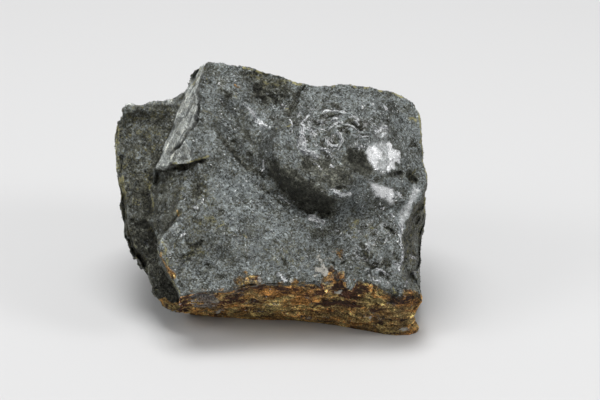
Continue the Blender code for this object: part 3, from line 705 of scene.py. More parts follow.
# %% Carve them, and pits
PITS = [  # depth, half width, line of (x, v)
    (1.0, 0.43, [(5.2, 18.9), (6.3, 18.5), (7.2, 18.4), (8.5, 18.6)]),
    (0.7, 0.38, [(4.9, 17.9), (6.1, 17.7)]), (0.5, 0.20, [(3.4, 16.3), (4.7, 16.6), (6.7, 17.1)]),
    (0.9, 0.34, [(10.3, 16.6), (11.2, 17.1), (12.3, 16.1), (13.7, 15.3)]),
    (0.7, 0.41, [(9.4, 15.0), (10.7, 14.3)]), (0.5, 0.59, [(7.1, 12.8), (8.3, 12.7)]),
    (0.7, 0.41, [(7.0, 22.2), (7.7, 21.5), (8.6, 20.7)]), (0.6, 0.32, [(1.6, 13.3), (2.0, 12.2)]),
    (0.5, 0.29, [(-1.4, 17.5), (-0.9, 16.1)]), (0.5, 0.59, [(14.1, 16.7), (14.3, 15.7)]),
    (0.4, 0.45, [(4.9, 11.9), (6.3, 11.0)]), (0.4, 0.50, [(4.9, 9.8), (6.2, 8.2)]),
    (0.3, 0.36, [(17.4, 8.3), (17.7, 7.7)]), (0.6, 0.27, [(20.4, 5.5), (21.3, 5.2)]),
    (0.8, 0.36, [(21.8, 6.1), (23.0, 6.1)]), (0.4, 0.34, [(21.4, 8.7), (21.4, 7.1)]),
    (0.9, 0.61, [(-8.9, 23.7), (-8.0, 23.9)]), (0.6, 0.32, [(-10.0, 26.2), (-9.1, 25.5)]),
    (0.4, 0.77, [(-5.9, 24.4), (-4.3, 24.0)]), (0.7, 0.29, [(-17.5, 25.1), (-16.8, 24.3), (-15.9, 23.7)]),
    (0.5, 0.32, [(-0.9, 24.4), (-0.5, 23.9)]),
    (0.8, 0.29, [(-2.5, 19.7), (-1.8, 21.0), (-1.1, 22.1), (-0.5, 22.6)]),
    (0.5, 0.36, [(-6.8, 18.8), (-5.9, 18.1)]), (0.5, 0.23, [(-4.1, 22.2), (-3.9, 20.7)]),
    (0.5, 0.34, [(-18.2, 15.4), (-17.8, 14.2)]), (0.5, 0.50, [(-12.2, 15.9), (-12.1, 14.7)]),
    (0.5, 0.36, [(-17.2, 13.2), (-16.2, 12.0)]), (0.5, 0.27, [(-12.2, 10.8), (-11.1, 9.9)]),
    (0.4, 0.27, [(-15.3, 13.7), (-14.5, 13.6)]), (0.4, 0.23, [(-5.6, 15.0), (-4.3, 15.0)]),
    (0.4, 0.77, [(-11.6, 29.2), (-9.6, 29.2), (-7.5, 28.7)]), (1.0, 0.56, [(13.9, -10.1), (14.3, -10.7)]),
    (0.8, 0.34, [(14.1, -13.4), (15.0, -14.2), (15.9, -14.9)]),
    (1.0, 0.54, [(16.5, -15.0), (16.8, -15.5)]),
    (0.7, 0.45, [(18.6, -14.1), (19.7, -13.7), (19.7, -15.0)]),
    (0.7, 0.29, [(17.9, -16.7), (19.5, -17.5)]), (0.8, 0.41, [(18.9, -6.1), (19.8, -6.7), (20.9, -7.4)]),
    (0.5, 0.54, [(14.3, -12.4), (15.2, -12.9)]), (0.5, 0.36, [(21.5, -12.3), (21.5, -12.8)]),
    (0.6, 0.36, [(7.2, -14.4), (7.8, -14.9)]), (0.6, 0.36, [(9.2, -14.5), (9.9, -13.9)]),
    (0.4, 0.34, [(2.0, -11.7), (3.1, -11.5)]), (0.4, 0.27, [(16.0, -7.0), (16.8, -7.6)]),
    (0.4, 0.27, [(11.9, -2.5), (12.8, -3.0)]), (0.6, 0.34, [(24.0, -7.8), (24.5, -8.3)]),
    (0.6, 0.41, [(25.6, -9.2), (26.2, -10.3)]), (0.7, 0.47, [(-23.0, 3.0), (-21.4, 3.3)]),
    (0.7, 0.34, [(-23.0, 1.4), (-21.6, 1.2)]), (0.5, 0.23, [(-18.0, -2.1), (-17.9, -3.5)]),
    (0.3, 0.50, [(-15.8, 6.3), (-14.7, 5.8)]), (0.6, 0.43, [(-23.6, -4.6), (-22.7, -4.6)]),
    (0.8, 0.47, [(-24.9, -9.8), (-23.8, -10.4), (-22.2, -10.0)]),
    (0.9, 0.63, [(-24.5, -12.0), (-25.3, -13.5)]), (0.8, 0.36, [(-20.9, -14.6), (-20.0, -14.9)]),
    (0.4, 0.25, [(-13.2, -13.0), (-12.3, -13.4)]), (0.5, 0.20, [(-6.2, -9.2), (-4.9, -10.1)]),
    (0.6, 0.29, [(-3.9, -13.8), (-2.9, -15.3)]), (0.4, 0.36, [(-17.9, -17.7), (-17.2, -17.6)]),
    (0.5, 0.36, [(-26.6, -18.9), (-26.1, -19.6)]),
    (0.8, 0.36, [(-7.0, 6.1), (-5.6, 4.3), (-4.3, 2.9), (-2.9, 1.6)]),
    (0.9, 0.34, [(-2.9, 1.4), (-1.3, -0.0), (0.4, -1.6), (2.5, -2.7), (4.7, -3.3), (6.5, -3.0)]),
    (0.5, 0.23, [(-8.6, 3.3), (-7.2, 2.0), (-5.9, 0.5), (-4.5, -0.6), (-3.2, -1.3)]),
    (0.4, 0.25, [(-11.3, 9.1), (-10.8, 8.2)]), (0.7, 0.36, [(-37.8, -3.7), (-36.4, -5.1)]),
    (0.7, 0.41, [(-35.2, -8.6), (-34.3, -10.4)]), (0.6, 0.34, [(-32.3, -2.2), (-31.1, -2.0)]),
    (0.9, 0.50, [(8.5, 1.7), (9.8, 1.7)]), (1.1, 0.75, [(25.3, 6.0), (25.9, 4.8)]),
    (0.8, 0.55, [(25.7, 13.2), (26.4, 13.1)]),
]
PIT_SHARE = 0.5  # a pit is carved to this share of its depth
jagged = np.stack([fractal(points, 1.7, seed, 2) for seed in (9.2, 14.6)], axis=1)
jx, jv = wx + 0.9 * jagged[:, 0], wv + 0.9 * jagged[:, 1]  # wavers more, as the rim of a stain does
hx, hv = x + 0.8 * jagged[:, 0], v + 0.8 * jagged[:, 1]  # and as the rim of a hole does
carve = np.zeros(len(points))
for depth, width, line in CRACKS:
    gap, side, share = follow(wx, wv, line)
    ends = ramp(share, 0.0, 0.08) * ramp(share, 1.0, 0.92)  # it runs out at both ends
    carve -= depth * ramp(gap, width, 0.0) * ends * forward
for height, reach, line in SCARPS:
    gap, side, share = follow(wx, wv, line)
    standing = height * ramp(side * gap, -0.15, 0.15) * ramp(gap, reach, 0.0)
    carve += standing * ramp(share, 0.0, 0.2) * ramp(share, 1.0, 0.8) * on_main
# pit_shade paints each pit dark, as painted shade in it.
pit_shade = np.zeros(len(points))
for depth, width, line in PITS:
    gap = follow(hx, hv, line)[0]
    carve -= PIT_SHARE * depth * ramp(gap, 1.3 * width + 0.3, 0.3 * width) * forward
    pit_shade = np.maximum(pit_shade, (0.3 + 0.45 * depth) * ramp(gap, width + 0.45, width - 0.20) * forward)
print("carved", len(CRACKS), "cracks,", len(SCARPS), "scarps and", len(PITS), "pits")

# %% [markdown]
# ## Roughen the breaks
# Broken ore is rough at every size. Three patterns of tilted cells are laid over each other, finer
# each time. On the bevelled facets the cells are drawn out along the slope, as the blades lie there,
# and the rusty face is stepped where its layers end.

# %% Push the points along their normals
RUGGED = [  # strength, middle, radii, turn
    (1.0, (17.0, -11.0), (10.0, 8.0), -20.0),
    (0.9, (-22.5, 2.0), (5.0, 7.0), 0.0),
    (0.8, (-22.0, -13.0), (7.0, 7.0), 0.0),
    (0.9, (-8.0, 24.5), (9.0, 5.5), -15.0),
    (0.6, (6.0, 16.0), (9.0, 5.0), 0.0),
]
rugged = np.zeros(len(points))
for strength, middle, radii, turn in RUGGED:
    rugged = np.maximum(rugged, strength * patch(wx, wv, middle, radii, turn) ** 0.6)
rugged = np.maximum(rugged, 0.4 * (1.0 - on_main))
rough = 1.0 - 0.85 * polish
large = cells(points, (5.0, 5.0, 5.0), 1.7)
medium = cells(points, (1.9, 1.9, 1.9), 6.3)
slanted = cells(turned(points, -45.0), (3.2, 0.9, 0.9), 9.1)
fine_grain = cells(points, (0.85, 0.85, 0.85), 3.3)
soft = fractal(points, 7.5, 8.8)
streaked = ramp(wv - 0.55 * wx, 8.0, 22.0) * on_main  # the upper left, where blades lie slanted
calm_bevel = 1.0 - 0.6 * on_bevel * ramp(wv, 7.0, 9.0)

push = 0.40 * soft * (1.0 - 0.4 * polish)
push += (0.24 + 0.34 * rugged) * large * calm_bevel * (1.0 - 0.7 * polish)
push += (0.10 + 0.20 * rugged) * medium * rough * (1.0 - 0.7 * streaked) * calm_bevel
push += 0.20 * slanted * streaked * rough * calm_bevel
push += 0.08 * fine_grain * rough * calm_bevel

along_bevel = turned(points, 66.0)  # the facets' own way, down to the left
ridges = cells(along_bevel, (6.5, 1.1, 3.0), 4.4)
push += 0.30 * ridges * (1.0 - calm_bevel) / 0.6

hole_noise = fractal(turned(points, -42.0) * np.array((0.6, 1.0, 1.0)), 2.6, 12.3)
holes = ramp(hole_noise, 0.22, 0.50) * rugged * rough * (1.0 - on_rust) * (1.0 - on_main)
push -= 0.60 * holes

# %% Step the rusty face where its layers end
LAYER_THICKNESS = 2.2

layer_wave = 1.9 * fractal(points * np.array((0.45, 0.8, 1.0)), 5.5, 5.9)
layer = (w * 0.95 + 0.3 * v + layer_wave) / LAYER_THICKNESS
step = ramp(layer % 1.0, 0.0, 0.75) - 0.5
broken = ramp(fractal(points, 4.0, 7.7), -0.3, 0.3)  # a layer's edge is lost here and there
flakes = cells(points, (3.4, 1.5, 1.3), 2.9)
chips = cells(points, (1.3, 0.8, 0.7), 8.3)
push += on_rust * (0.50 * step * broken + 0.30 * flakes + 0.12 * chips)
height = to_world(points)[:, 2] / MM
settled = ramp(height, 0.0, 2.5)
points = points + normals * (push * (0.15 + 0.85 * settled) + carve)[:, None]
placed = to_world(points)
placed[:, 2] = np.maximum(placed[:, 2], 0.0)  # nothing sinks under the floor
points = to_face(placed)
place_points(points)
print("pushed by", round(float(push.min()), 2), "to", round(float(push.max()), 2), "mm")

# %% Measure the hollows
HOLLOW_ROUNDS = 9  # more rounds find wider hollows

def hollows(mesh, rounds):
    """How far each point lies under its surroundings, in millimetres; crests are negative."""
    places, normals = net_arrays(mesh)
    a, b = read(mesh.edges, "vertices", 2, int).T
    total = len(places)
    count = np.bincount(np.concatenate((a, b)), minlength=total)[:, None]
    mean = places
    for _ in range(rounds):
        mean = np.stack([np.bincount(a, mean[b, i], total) + np.bincount(b, mean[a, i], total)
                         for i in range(3)], axis=1) / count
    return ((mean - places) * normals).sum(axis=1)

# The material darkens the hollows by this as painted shade, and lightens the crests.
hollow = hollows(ore.data, HOLLOW_ROUNDS)
print("the deepest hollow lies", round(float(hollow.max()), 2), "mm under its rim")

# %% [markdown]
# ## Mark rust, dust, dark and pale places, with painted shade and light
# The colours are told to the material by soft masks stored on the points. Each is drawn as a few
# spots and lines with a strength, and some faces have a little of it all over. The material breaks
# their edges up with fine noise, as a real stain breaks up on grainy rock.

# %% Mark the rust
RUST_SPOTS = [
    (0.62, 0.7, [(7.4, -11.3), (8.6, -10.9), (9.6, -11.6), (10.6, -12.8), (9.6, -13.5), (8.4, -12.8),
                 (7.4, -12.4)]),
    (0.64, 0.8, [(-15.0, -17.5), (-11.6, -16.4), (-8.5, -17.3), (-7.2, -21.5), (-9.8, -21.5),
                 (-13.8, -21.0)]),
    (0.64, 0.8, [(4.9, -15.9), (8.1, -15.5), (10.3, -16.9), (10.9, -21.5), (6.7, -21.5), (4.5, -21.0)]),
    (0.8, 0.4, [(-2.7, -18.4), (-0.7, -17.8), (0.0, -19.7), (-2.2, -19.9)]),
    (0.5, 0.4, [(-13.4, -7.4), (-11.9, -7.7), (-11.9, -8.6), (-13.2, -8.3)]),
    (0.9, 0.7, [(-33.0, -21.8), (-30.5, -21.4), (-28.7, -21.9), (-26.5, -22.3), (-26.5, -26.0),
                (-33.0, -26.0)]),
]
RUST_LINES = [
    (1.0, 1.1, [(-31.9, -11.9), (-31.2, -13.3), (-30.1, -15.1), (-28.2, -17.1)]),
    (0.8, 0.5, [(-30.8, 8.0), (-29.9, 8.4), (-28.9, 8.6)]),
    (0.8, 0.5, [(-27.9, -2.4), (-27.2, -3.4)]),
]
SMALL_RUST = [
    (0.9, 0.34, [(-14.8, 26.3), (-14.1, 26.0)]), (0.6, 0.20, [(-9.5, 16.3), (-9.7, 15.2)]),
    (0.7, 0.18, [(-13.7, -0.7), (-13.5, -0.9)]), (0.5, 0.23, [(-12.4, -2.1), (-12.1, -2.8)]),
    (0.6, 0.23, [(-9.0, 0.9), (-8.8, 0.3)]), (0.8, 0.25, [(-16.8, -10.3), (-15.7, -10.7)]),
    (0.6, 0.20, [(-2.7, -4.7), (-2.0, -5.0)]),
    (0.9, 0.23, [(6.9, -11.7), (7.6, -12.2), (8.3, -12.0), (8.3, -11.3), (7.4, -11.2)]),
    (0.5, 0.34, [(9.2, -13.1), (10.3, -13.7)]),
]
EDGE_RUST, END_RUST, SMALL_SHARE = 0.40, 0.9, 0.62

edge_band = ramp(wv, edge_v + 1.5, edge_v + 0.2) * on_block  # a thin stain over the lower edge
edge_band *= ramp(wx, -27.0, -25.0) * ramp(wx, 22.0, 19.0)
right_end = ramp(x, 22.0, 24.0) * ramp(wv, -19.5, -20.8) * ramp(w, -20.0, -16.0)
rust = most(
    on_rust,
    spread(RUST_SPOTS, jx, jv) * most(on_block, below, on_slab),
    streak(RUST_LINES) * on_block * ramp(w, -6.0, -3.0),
    EDGE_RUST * edge_band,
    END_RUST * right_end,
    SMALL_SHARE * streak(widened(SMALL_RUST, 1.8)),
)
print("rusty:", round(100.0 * (rust > 0.5).mean(), 1), "%")

# %% Mark the dust in spots and lines
DUST_SPOTS = [
    (0.36, 2.5, [(-7.5, -9.6), (-1.0, -9.0), (3.1, -11.0), (3.1, -15.8), (-3.0, -16.5), (-8.0, -14.5)]),
    (0.36, 2.5, [(-31.0, 7.5), (-19.0, 8.0), (-18.0, -3.0), (-21.0, -14.0), (-29.0, -18.0), (-31.0, -8.0)]),
    (0.34, 2.0, [(12.0, -3.0), (21.0, -5.0), (21.5, -16.0), (13.0, -17.0)]),
    (0.75, 0.7, [(-32.0, -8.0), (-30.8, -8.0), (-30.0, -12.0), (-28.6, -15.5), (-29.6, -16.0),
                 (-31.2, -12.5)]),
    (0.50, 1.4, [(-21.3, -3.6), (-18.4, -3.4), (-17.0, -6.0), (-19.6, -7.4), (-21.6, -6.0)]),
    (0.8, 0.3, [(-15.1, 24.5), (-14.0, 24.5), (-14.0, 23.2), (-14.9, 23.2)]),
    (0.60, 1.5, [(-12.8, 30.4), (-8.7, 29.7), (-3.6, 28.2), (-2.3, 26.1), (-6.0, 25.5), (-11.0, 27.5)]),
    (0.68, 1.2, [(11.0, -4.0), (13.0, -4.4), (13.4, -8.0), (11.6, -8.0)]),
    (0.9, 0.6, [(25.4, 20.2), (26.8, 19.0), (26.2, 17.6), (24.6, 19.4)]),
]
DUST_LINES = [
    (0.9, 0.45, [(-34.4, 4.7), (-34.0, 2.1), (-33.6, -1.1)]),
    (0.9, 0.50, [(-32.6, -7.6), (-32.1, -11.3)]),
    (0.9, 0.50, [(-28.8, -17.6), (-27.8, -19.4), (-26.8, -21.1), (-26.6, -22.4)]),
    (0.9, 0.43, [(-28.9, 9.1), (-26.5, 8.7), (-24.2, 8.9), (-21.9, 9.8)]),
    (0.8, 0.36, [(-21.9, 31.0), (-21.3, 28.3), (-21.4, 26.9)]),
    (0.8, 0.43, [(-24.9, 27.2), (-23.2, 29.5), (-22.6, 31.3)]),
    (0.8, 0.32, [(-5.1, 15.9), (-3.6, 16.1), (-2.4, 16.7)]),
    (0.6, 0.32, [(-22.0, 20.7), (-20.6, 20.4), (-19.4, 19.5)]),
    (0.6, 0.36, [(24.8, 4.7), (25.3, 5.6), (26.5, 7.2)]),
]
SMALL_DUST = [
    (0.5, 0.68, [(-21.1, -4.1), (-19.6, -4.1)]), (0.9, 0.36, [(-18.2, -6.2), (-17.1, -5.8)]),
    (0.7, 0.32, [(-12.8, -7.7), (-12.3, -8.4)]), (0.9, 0.29, [(-2.9, 16.2), (-2.3, 16.9)]),
    (0.9, 0.34, [(-27.9, -2.9), (-27.2, -3.2)]), (0.5, 0.59, [(-22.0, -11.8), (-20.6, -12.2)]),
    (0.5, 0.45, [(10.3, -7.3), (11.4, -6.8)]), (0.7, 0.32, [(11.9, -8.6), (12.8, -8.7)]),
    (0.5, 0.36, [(14.6, -8.1), (15.2, -9.0)]), (0.5, 0.41, [(11.9, -5.7), (12.8, -5.0)]),
    (0.5, 0.32, [(15.7, -6.0), (16.6, -6.4)]), (0.6, 0.32, [(12.3, -15.3), (13.2, -15.7)]),
    (0.8, 0.27, [(21.0, -19.7), (21.3, -21.2)]), (0.7, 0.36, [(-15.0, 23.6), (-14.3, 23.2)]),
    (0.6, 0.32, [(-3.4, 21.1), (-2.7, 21.1)]), (0.5, 0.41, [(-19.0, 19.0), (-18.8, 18.1)]),
    (0.6, 0.32, [(-22.8, 9.9), (-20.6, 9.9)]), (0.7, 0.23, [(-22.7, 20.6), (-21.3, 20.5)]),
    (0.4, 0.68, [(-17.5, -5.1), (-15.5, -7.4), (-14.3, -7.9)]),
]

dust = most(spread(DUST_SPOTS, jx, jv), streak(DUST_LINES + widened(SMALL_DUST, 1.8, 0.2)))
dust *= 1.0 - on_rust
print(len(DUST_SPOTS), "dusty spots and", len(DUST_LINES + SMALL_DUST), "lines")

# %% Lay thin dust on whole faces, and more along the outline
SLAB_DUST, BEVEL_DUST, HIDDEN_DUST, WEDGE_DUST, RIM_DUST = 0.28, 0.33, 0.38, 0.42, 0.50
FRINGE = 0.8  # how far it reaches in from the outline
COLUMN = 0.6  # the outline is looked for in columns of this width

def outline_rim(outward, along, width):
    """1 at the points within a width of the outline, as it is seen from in front."""
    column = np.round((along - along.min()) / COLUMN).astype(int)
    farthest = np.full(column.max() + 1, -np.inf)
    np.maximum.at(farthest, column, outward)
    return ramp(farthest[column] - outward, width, 0.4 * width)

slab_dust = SLAB_DUST + 0.18 * ramp(v, -3.0, 4.0)
all_over = slab_dust * on_slab + BEVEL_DUST * on_bevel + HIDDEN_DUST * elsewhere + WEDGE_DUST * on_wedge
rise = v + SLANT * w
upper_edge = outline_rim(rise, x, FRINGE) * ramp(x, -16.0, -14.5)
right_edge = outline_rim(x, rise, FRINGE) * ramp(rise, -18.0, -16.0) * ramp(rise, 23.0, 20.0)
facing = net_arrays(ore.data)[1] @ TO_CAMERA
edge_fringe = most(upper_edge, right_edge) * on_block * ramp(facing, -0.15, 0.05)
edge_fringe *= ramp(fractal(points, 2.4, 21.0, 4), -0.30, 0.15) * ramp(w, -16.0, -9.0)
slab_edge = ramp(x - line_at(SLAB_RIM, v), 0.7, 0.1) * ramp(v, 24.0, 19.0)
slab_edge *= ramp(w + 2.6 * fractal(points, 1.9, 27.0, 3), -19.5, -14.0)
slab_edge *= ramp(fractal(points, 2.2, 33.0, 3), -0.45, 0.05)
dust = most(dust, all_over, edge_fringe, (RIM_DUST + 0.30 * ramp(v, 1.0, 4.0)) * slab_edge)
print("dusty:", round(100.0 * (dust > 0.5).mean(), 1), "%")

# %% Mark the dark places and the painted shade
# Most of these spots are painted shade: the bulge's steep lower-left flank and the trough below it, the
# place under the left ledge, and dents over the face.
DARK_AND_SHADE_SPOTS = [
    (0.88, 1.3, CRESCENT),
    (0.75, 0.9, [(-5.9, 5.8), (-3.6, 4.8), (-0.9, 3.7), (1.8, 2.5), (4.9, 0.9), (6.9, -0.8), (7.4, -2.6),
                 (4.9, -2.6), (1.8, -1.4), (-1.3, 0.4), (-4.1, 2.5)]),
    (0.75, 0.9, FLAT_SPOT),
    (0.28, 1.5, BULGE_MIDST),
    (0.55, 1.2, [(-12.8, 30.4), (-8.7, 29.7), (-3.6, 28.2), (-2.3, 26.1), (-2.7, 23.3), (-5.0, 22.4),
                 (-7.3, 23.2), (-9.5, 22.8), (-10.9, 25.1), (-12.3, 27.4)]),
    (0.6, 0.9, [(0.7, 9.4), (2.2, 8.9), (3.1, 7.1), (1.8, 5.6), (0.2, 6.9)]),
    (0.6, 0.7, [(1.0, 12.9), (2.0, 13.4), (2.4, 12.0), (1.4, 11.4)]),
    (0.6, 0.7, [(5.2, 9.9), (6.5, 9.7), (7.4, 8.3), (5.8, 8.3)]),
    (0.5, 1.2, [(0.0, -5.0), (4.0, -6.4), (9.0, -6.0), (11.2, -4.1), (9.9, -7.3), (4.9, -8.7), (0.9, -7.3)]),
    (0.6, 0.8, [(-24.9, 4.9), (-22.8, 5.1), (-21.6, 3.2), (-21.8, 0.9), (-23.7, 0.8), (-24.9, 2.5)]),
]

# Painted shade too: cracks, pits and holes are painted dark, and so are the wedge at the right, a side
# turned away from the lamps, the slab's lower end and its strip beside the block. The slab is also darker
# towards the bottom, the hidden sides a little darker, and the rusty face darker towards the right.
crack_shade = streak([(1.1 * depth + 0.2, width + 0.1, line) for depth, width, line in CRACKS])
slab_dark = 0.24 + 0.16 * ramp(v, 16.0, 4.0)
wedge_dark = 0.66 * (0.35 + 0.65 * ramp(v, -15.0, -11.0))
dark = most(
    spread(DARK_AND_SHADE_SPOTS, jx, jv) * on_main,
    pit_shade,
    0.75 * holes,
    crack_shade * forward,
    slab_dark * on_slab + wedge_dark * on_wedge + 0.35 * elsewhere,
    0.95 * on_slab * ramp(v, 0.0, -8.0),
    0.30 * on_bevel * ramp(v, 8.6, 7.8) * ramp(v, -8.0, -5.0),
    on_slab * ramp(edge_x - wx, 4.5, 0.5) * ramp(v, 14.0, 6.0),
    0.7 * on_rust * ramp(x, 4.0, 16.0),
)
# The olive tint also follows the painted shade of the dark places.
olive = most(spread([(1.0, 2.0, BULGE_MIDST), (1.0, 1.2, CRESCENT), (1.0, 1.0, FLAT_SPOT)]), dark)
print("dark:", round(100.0 * (dark > 0.5).mean(), 1), "%")

# %% Mark the pale places, partly painted light, and the fibrous facets
# The pale spots are partly lighter ore and partly painted light: the lower left and the bulge's top, which
# face up to the lamp, and painted highlights on the polished patches at the right.
PALE_AND_LIT_SPOTS = [
    (1.0, 2.0, [(-19.9, 6.9), (-15.8, 8.1), (-9.9, 3.5), (-8.6, 0.7), (-3.1, -3.4), (3.6, -6.4),
                (2.7, -10.0), (-2.2, -11.5), (-8.5, -9.9), (-13.5, -6.0), (-17.5, -3.2), (-20.7, 0.9)]),
    (0.9, 2.0, [(-16.8, -7.4), (-11.2, -6.5), (-4.5, -10.3), (1.1, -11.4), (2.7, -14.1), (-1.1, -18.2),
                (-8.5, -17.3), (-13.4, -14.1)]),
    (0.7, 1.0, [(-21.6, 26.4), (-19.5, 26.9), (-17.9, 23.5), (-17.7, 20.4), (-20.0, 20.4), (-21.3, 23.1)]),
    (0.8, 0.9, [(-12.2, 22.1), (-10.9, 21.8), (-8.6, 19.0), (-6.8, 16.4), (-7.7, 15.5), (-10.0, 17.5),
                (-11.8, 19.8)]),
    (0.8, 1.2, [(21.8, 20.5), (24.6, 19.8), (26.2, 17.6), (26.6, 14.4), (25.4, 11.4), (23.5, 11.6),
                (22.6, 14.3), (20.8, 17.5)]),
    (0.7, 1.8, [(2.7, 25.0), (9.1, 25.5), (16.3, 23.5), (20.4, 21.4), (19.5, 18.8), (13.5, 19.7),
                (7.9, 20.7), (3.4, 21.9)]),
    (1.0, 0.6, LIGHT_BAND),
    (0.8, 1.0, BRIGHT_GROUND),
    (0.8, 1.0, PEARLY),
]
FIBROUS_ISLANDS = [
    (0.42, 0.8, [(-32.5, -6.6), (-30.5, -6.0), (-27.8, -5.0), (-26.9, -7.3), (-27.3, -10.5),
                (-28.2, -14.1), (-30.0, -13.2), (-31.5, -11.2)]),
    (0.6, 0.5, [(-32.5, 9.9), (-30.5, 9.9), (-30.1, 8.2), (-31.8, 7.5), (-32.7, 8.6)]),
]

pale_and_lit = spread(PALE_AND_LIT_SPOTS) * on_main
upper_wall = ramp(edge_x - wx, -0.6, 0.0) * ramp(v, 21.5, 24.0) * ramp(v, 38.0, 33.0)
upper_wall *= ramp(w, -24.0, -13.0)
facet = most(
    on_bevel * ramp(v, 7.8, 8.6),
    upper_wall,
    spread(FIBROUS_ISLANDS) * (1.0 - on_rust),
    0.30 * slab_edge * ramp(v, -2.0, 3.0),
)
print("pale:", round(100.0 * (pale_and_lit > 0.5).mean(), 1), "%")

# %% Mark the colours of the rusty face, as (x, w)
OCHRE_SPOTS = [
    (1.0, 0.8, [(14.4, -2.5), (16.6, -0.4), (18.6, -1.2), (18.2, -3.5), (15.8, -4.9), (14.2, -4.1)]),
    (1.0, 1.5, [(-7.2, -6.5), (-4.5, -7.1), (-3.7, -12.2), (-6.4, -12.7), (-8.2, -9.5)]),
    (0.9, 1.5, [(-11.4, -12.4), (-8.7, -12.7), (-6.9, -13.0), (-8.8, -16.4), (-11.3, -16.0)]),
]
ORANGE_SPOTS = [
    (1.0, 1.0, [(-10.7, 0.2), (-7.6, 0.6), (-3.6, 0.5), (0.4, 0.4), (0.0, -2.9), (-4.1, -5.3), (-8.1, -3.7),
                (-10.6, -2.7)]),
    (0.9, 0.8, [(18.6, -0.5), (21.9, -0.1), (25.2, -2.7), (24.8, -4.3), (21.1, -3.0), (18.9, -2.4)]),
    (0.8, 1.2, [(-3.4, -6.1), (0.5, -5.6), (3.6, -6.8), (1.8, -9.5), (-2.3, -9.0)]),
    (0.9, 1.0, [(23.6, -9.6), (26.1, -11.4), (27.0, -12.1), (26.1, -13.9), (23.7, -12.8)]),
]
CHARRED_SPOTS = [
    (0.9, 1.2, [(-33.0, -8.0), (-32.0, 2.0), (-25.6, 2.0), (-25.6, -9.0), (-26.1, -14.2), (-30.0, -14.4)]),
    (1.0, 0.8, [(4.2, 1.4), (8.0, 1.4), (11.6, 1.6), (15.2, 0.4), (18.5, 0.3), (18.5, -0.9), (13.9, -1.1),
                (13.5, -1.4), (13.1, -4.3), (10.2, -4.5), (7.2, -3.6), (6.3, -0.4)]),
    (0.8, 1.0, [(5.0, -6.6), (8.6, -5.8), (12.2, -6.4), (11.8, -8.0), (8.2, -8.0), (5.4, -8.6)]),
    (0.8, 1.2, [(-17.6, -6.1), (-14.4, -3.1), (-11.3, -7.2), (-12.3, -10.1), (-15.9, -6.9)]),
    (0.7, 1.2, [(-14.6, -12.2), (-11.4, -9.8), (-11.0, -13.0), (-13.7, -13.4)]),
]
SLATE_SPOTS = [
    (1.0, 1.5, [(-25.0, 1.6), (-22.3, 1.2), (-19.7, 1.2), (-17.9, -6.1), (-19.0, -12.4), (-22.0, -13.4),
                (-24.6, -10.6)]),
    (0.8, 0.6, [(19.0, -2.4), (21.6, -2.6), (21.4, -4.2), (19.2, -4.0)]),
]
CHALK_SPOTS = [
    (1.0, 0.5, [(8.1, -2.4), (9.2, -2.4), (9.7, -3.6), (8.6, -4.2)]),
    (0.9, 0.7, [(-19.0, -13.0), (-17.9, -12.6), (-17.5, -15.6), (-18.9, -16.5)]),
    (0.9, 0.6, [(22.3, -9.2), (24.1, -10.2), (25.6, -11.6), (23.7, -11.3)]),
    (0.7, 0.6, [(14.4, -9.0), (15.9, -8.5), (16.3, -9.8), (14.8, -10.1)]),
]

jw = w + 0.9 * jagged[:, 1]
ochre, orange, charred, slate, chalk = [
    spread(spots, jx, jw) * on_rust
    for spots in (OCHRE_SPOTS, ORANGE_SPOTS, CHARRED_SPOTS, SLATE_SPOTS, CHALK_SPOTS)]
charred = most(charred, 0.6 * on_rust * ramp(wv, edge_v - 1.6, edge_v - 0.4))
print("charred:", round(100.0 * charred.mean(), 1), "%")

# %% Mark the chalky flakes over the lower edge
CHALK_ABOVE = [
    (1.0, 0.4, [(3.7, -15.5), (4.3, -15.2), (5.0, -15.5), (5.9, -15.3), (6.2, -16.2), (5.9, -17.2),
                (4.7, -17.1), (3.8, -16.5)]),
    (0.8, 0.4, [(4.5, -13.3), (5.4, -13.7), (5.6, -15.4), (4.7, -15.5)]),
    (0.7, 0.4, [(3.6, -13.0), (4.7, -11.9), (5.1, -12.4), (4.5, -13.7), (3.8, -13.7)]),
    (0.7, 0.4, [(-9.6, -17.7), (-8.4, -17.8), (-8.2, -18.8), (-9.6, -18.8)]),
    (0.7, 0.4, [(-12.6, -17.3), (-11.6, -17.4), (-11.6, -18.2), (-12.8, -18.2)]),
    (0.7, 0.4, [(-2.6, -18.2), (-1.4, -18.0), (-1.2, -19.0), (-2.4, -19.1)]),
]
SMALL_CHALK = [
    (0.5, 0.36, [(5.6, -13.4), (7.6, -13.5)]), (0.6, 0.27, [(3.1, -17.5), (4.0, -17.3)]),
]

chalk_above = most(spread(CHALK_ABOVE, mx, mv), streak(widened(SMALL_CHALK, 2.0)))
chalk = most(chalk, chalk_above * on_main)
print(len(CHALK_ABOVE) + len(SMALL_CHALK), "flakes")

# %% Store the masks on the net
def store(mesh, name, domain, values):
    """Keeps values on a mesh's points or faces, for the material to read."""
    attribute = mesh.attributes.new(name, "FLOAT", domain)
    attribute.data.foreach_set("value", values.astype(np.float32))

MASKS = {
    "rust": rust, "dust": dust, "pale_and_lit": pale_and_lit, "dark": dark, "polish": polish, "silver_glint": silver_glint,
    "sheen": sheen, "glinting": glinting, "ochre": ochre, "orange": orange, "charred": charred,
    "slate": slate, "chalk": chalk, "olive": olive, "hollow": 0.5 + 0.8 * hollow, "facet": facet,
}
for name, mask in MASKS.items():
    store(ore.data, name, "POINT", np.clip(mask, 0.0, 1.0))
print("stored", list(MASKS))

# %% [markdown]
# ## The ore's material
# One Principled shader, half metal. Its colour comes from small drawn-out cells, each with its own
# grey and its own tilt, so that some catch the lamps and others stay black. Pale, dark, dusty and
# rusty places are laid over that by the masks; the pale and dark ones carry painted light and painted
# shade, and the silvery ones painted highlights.

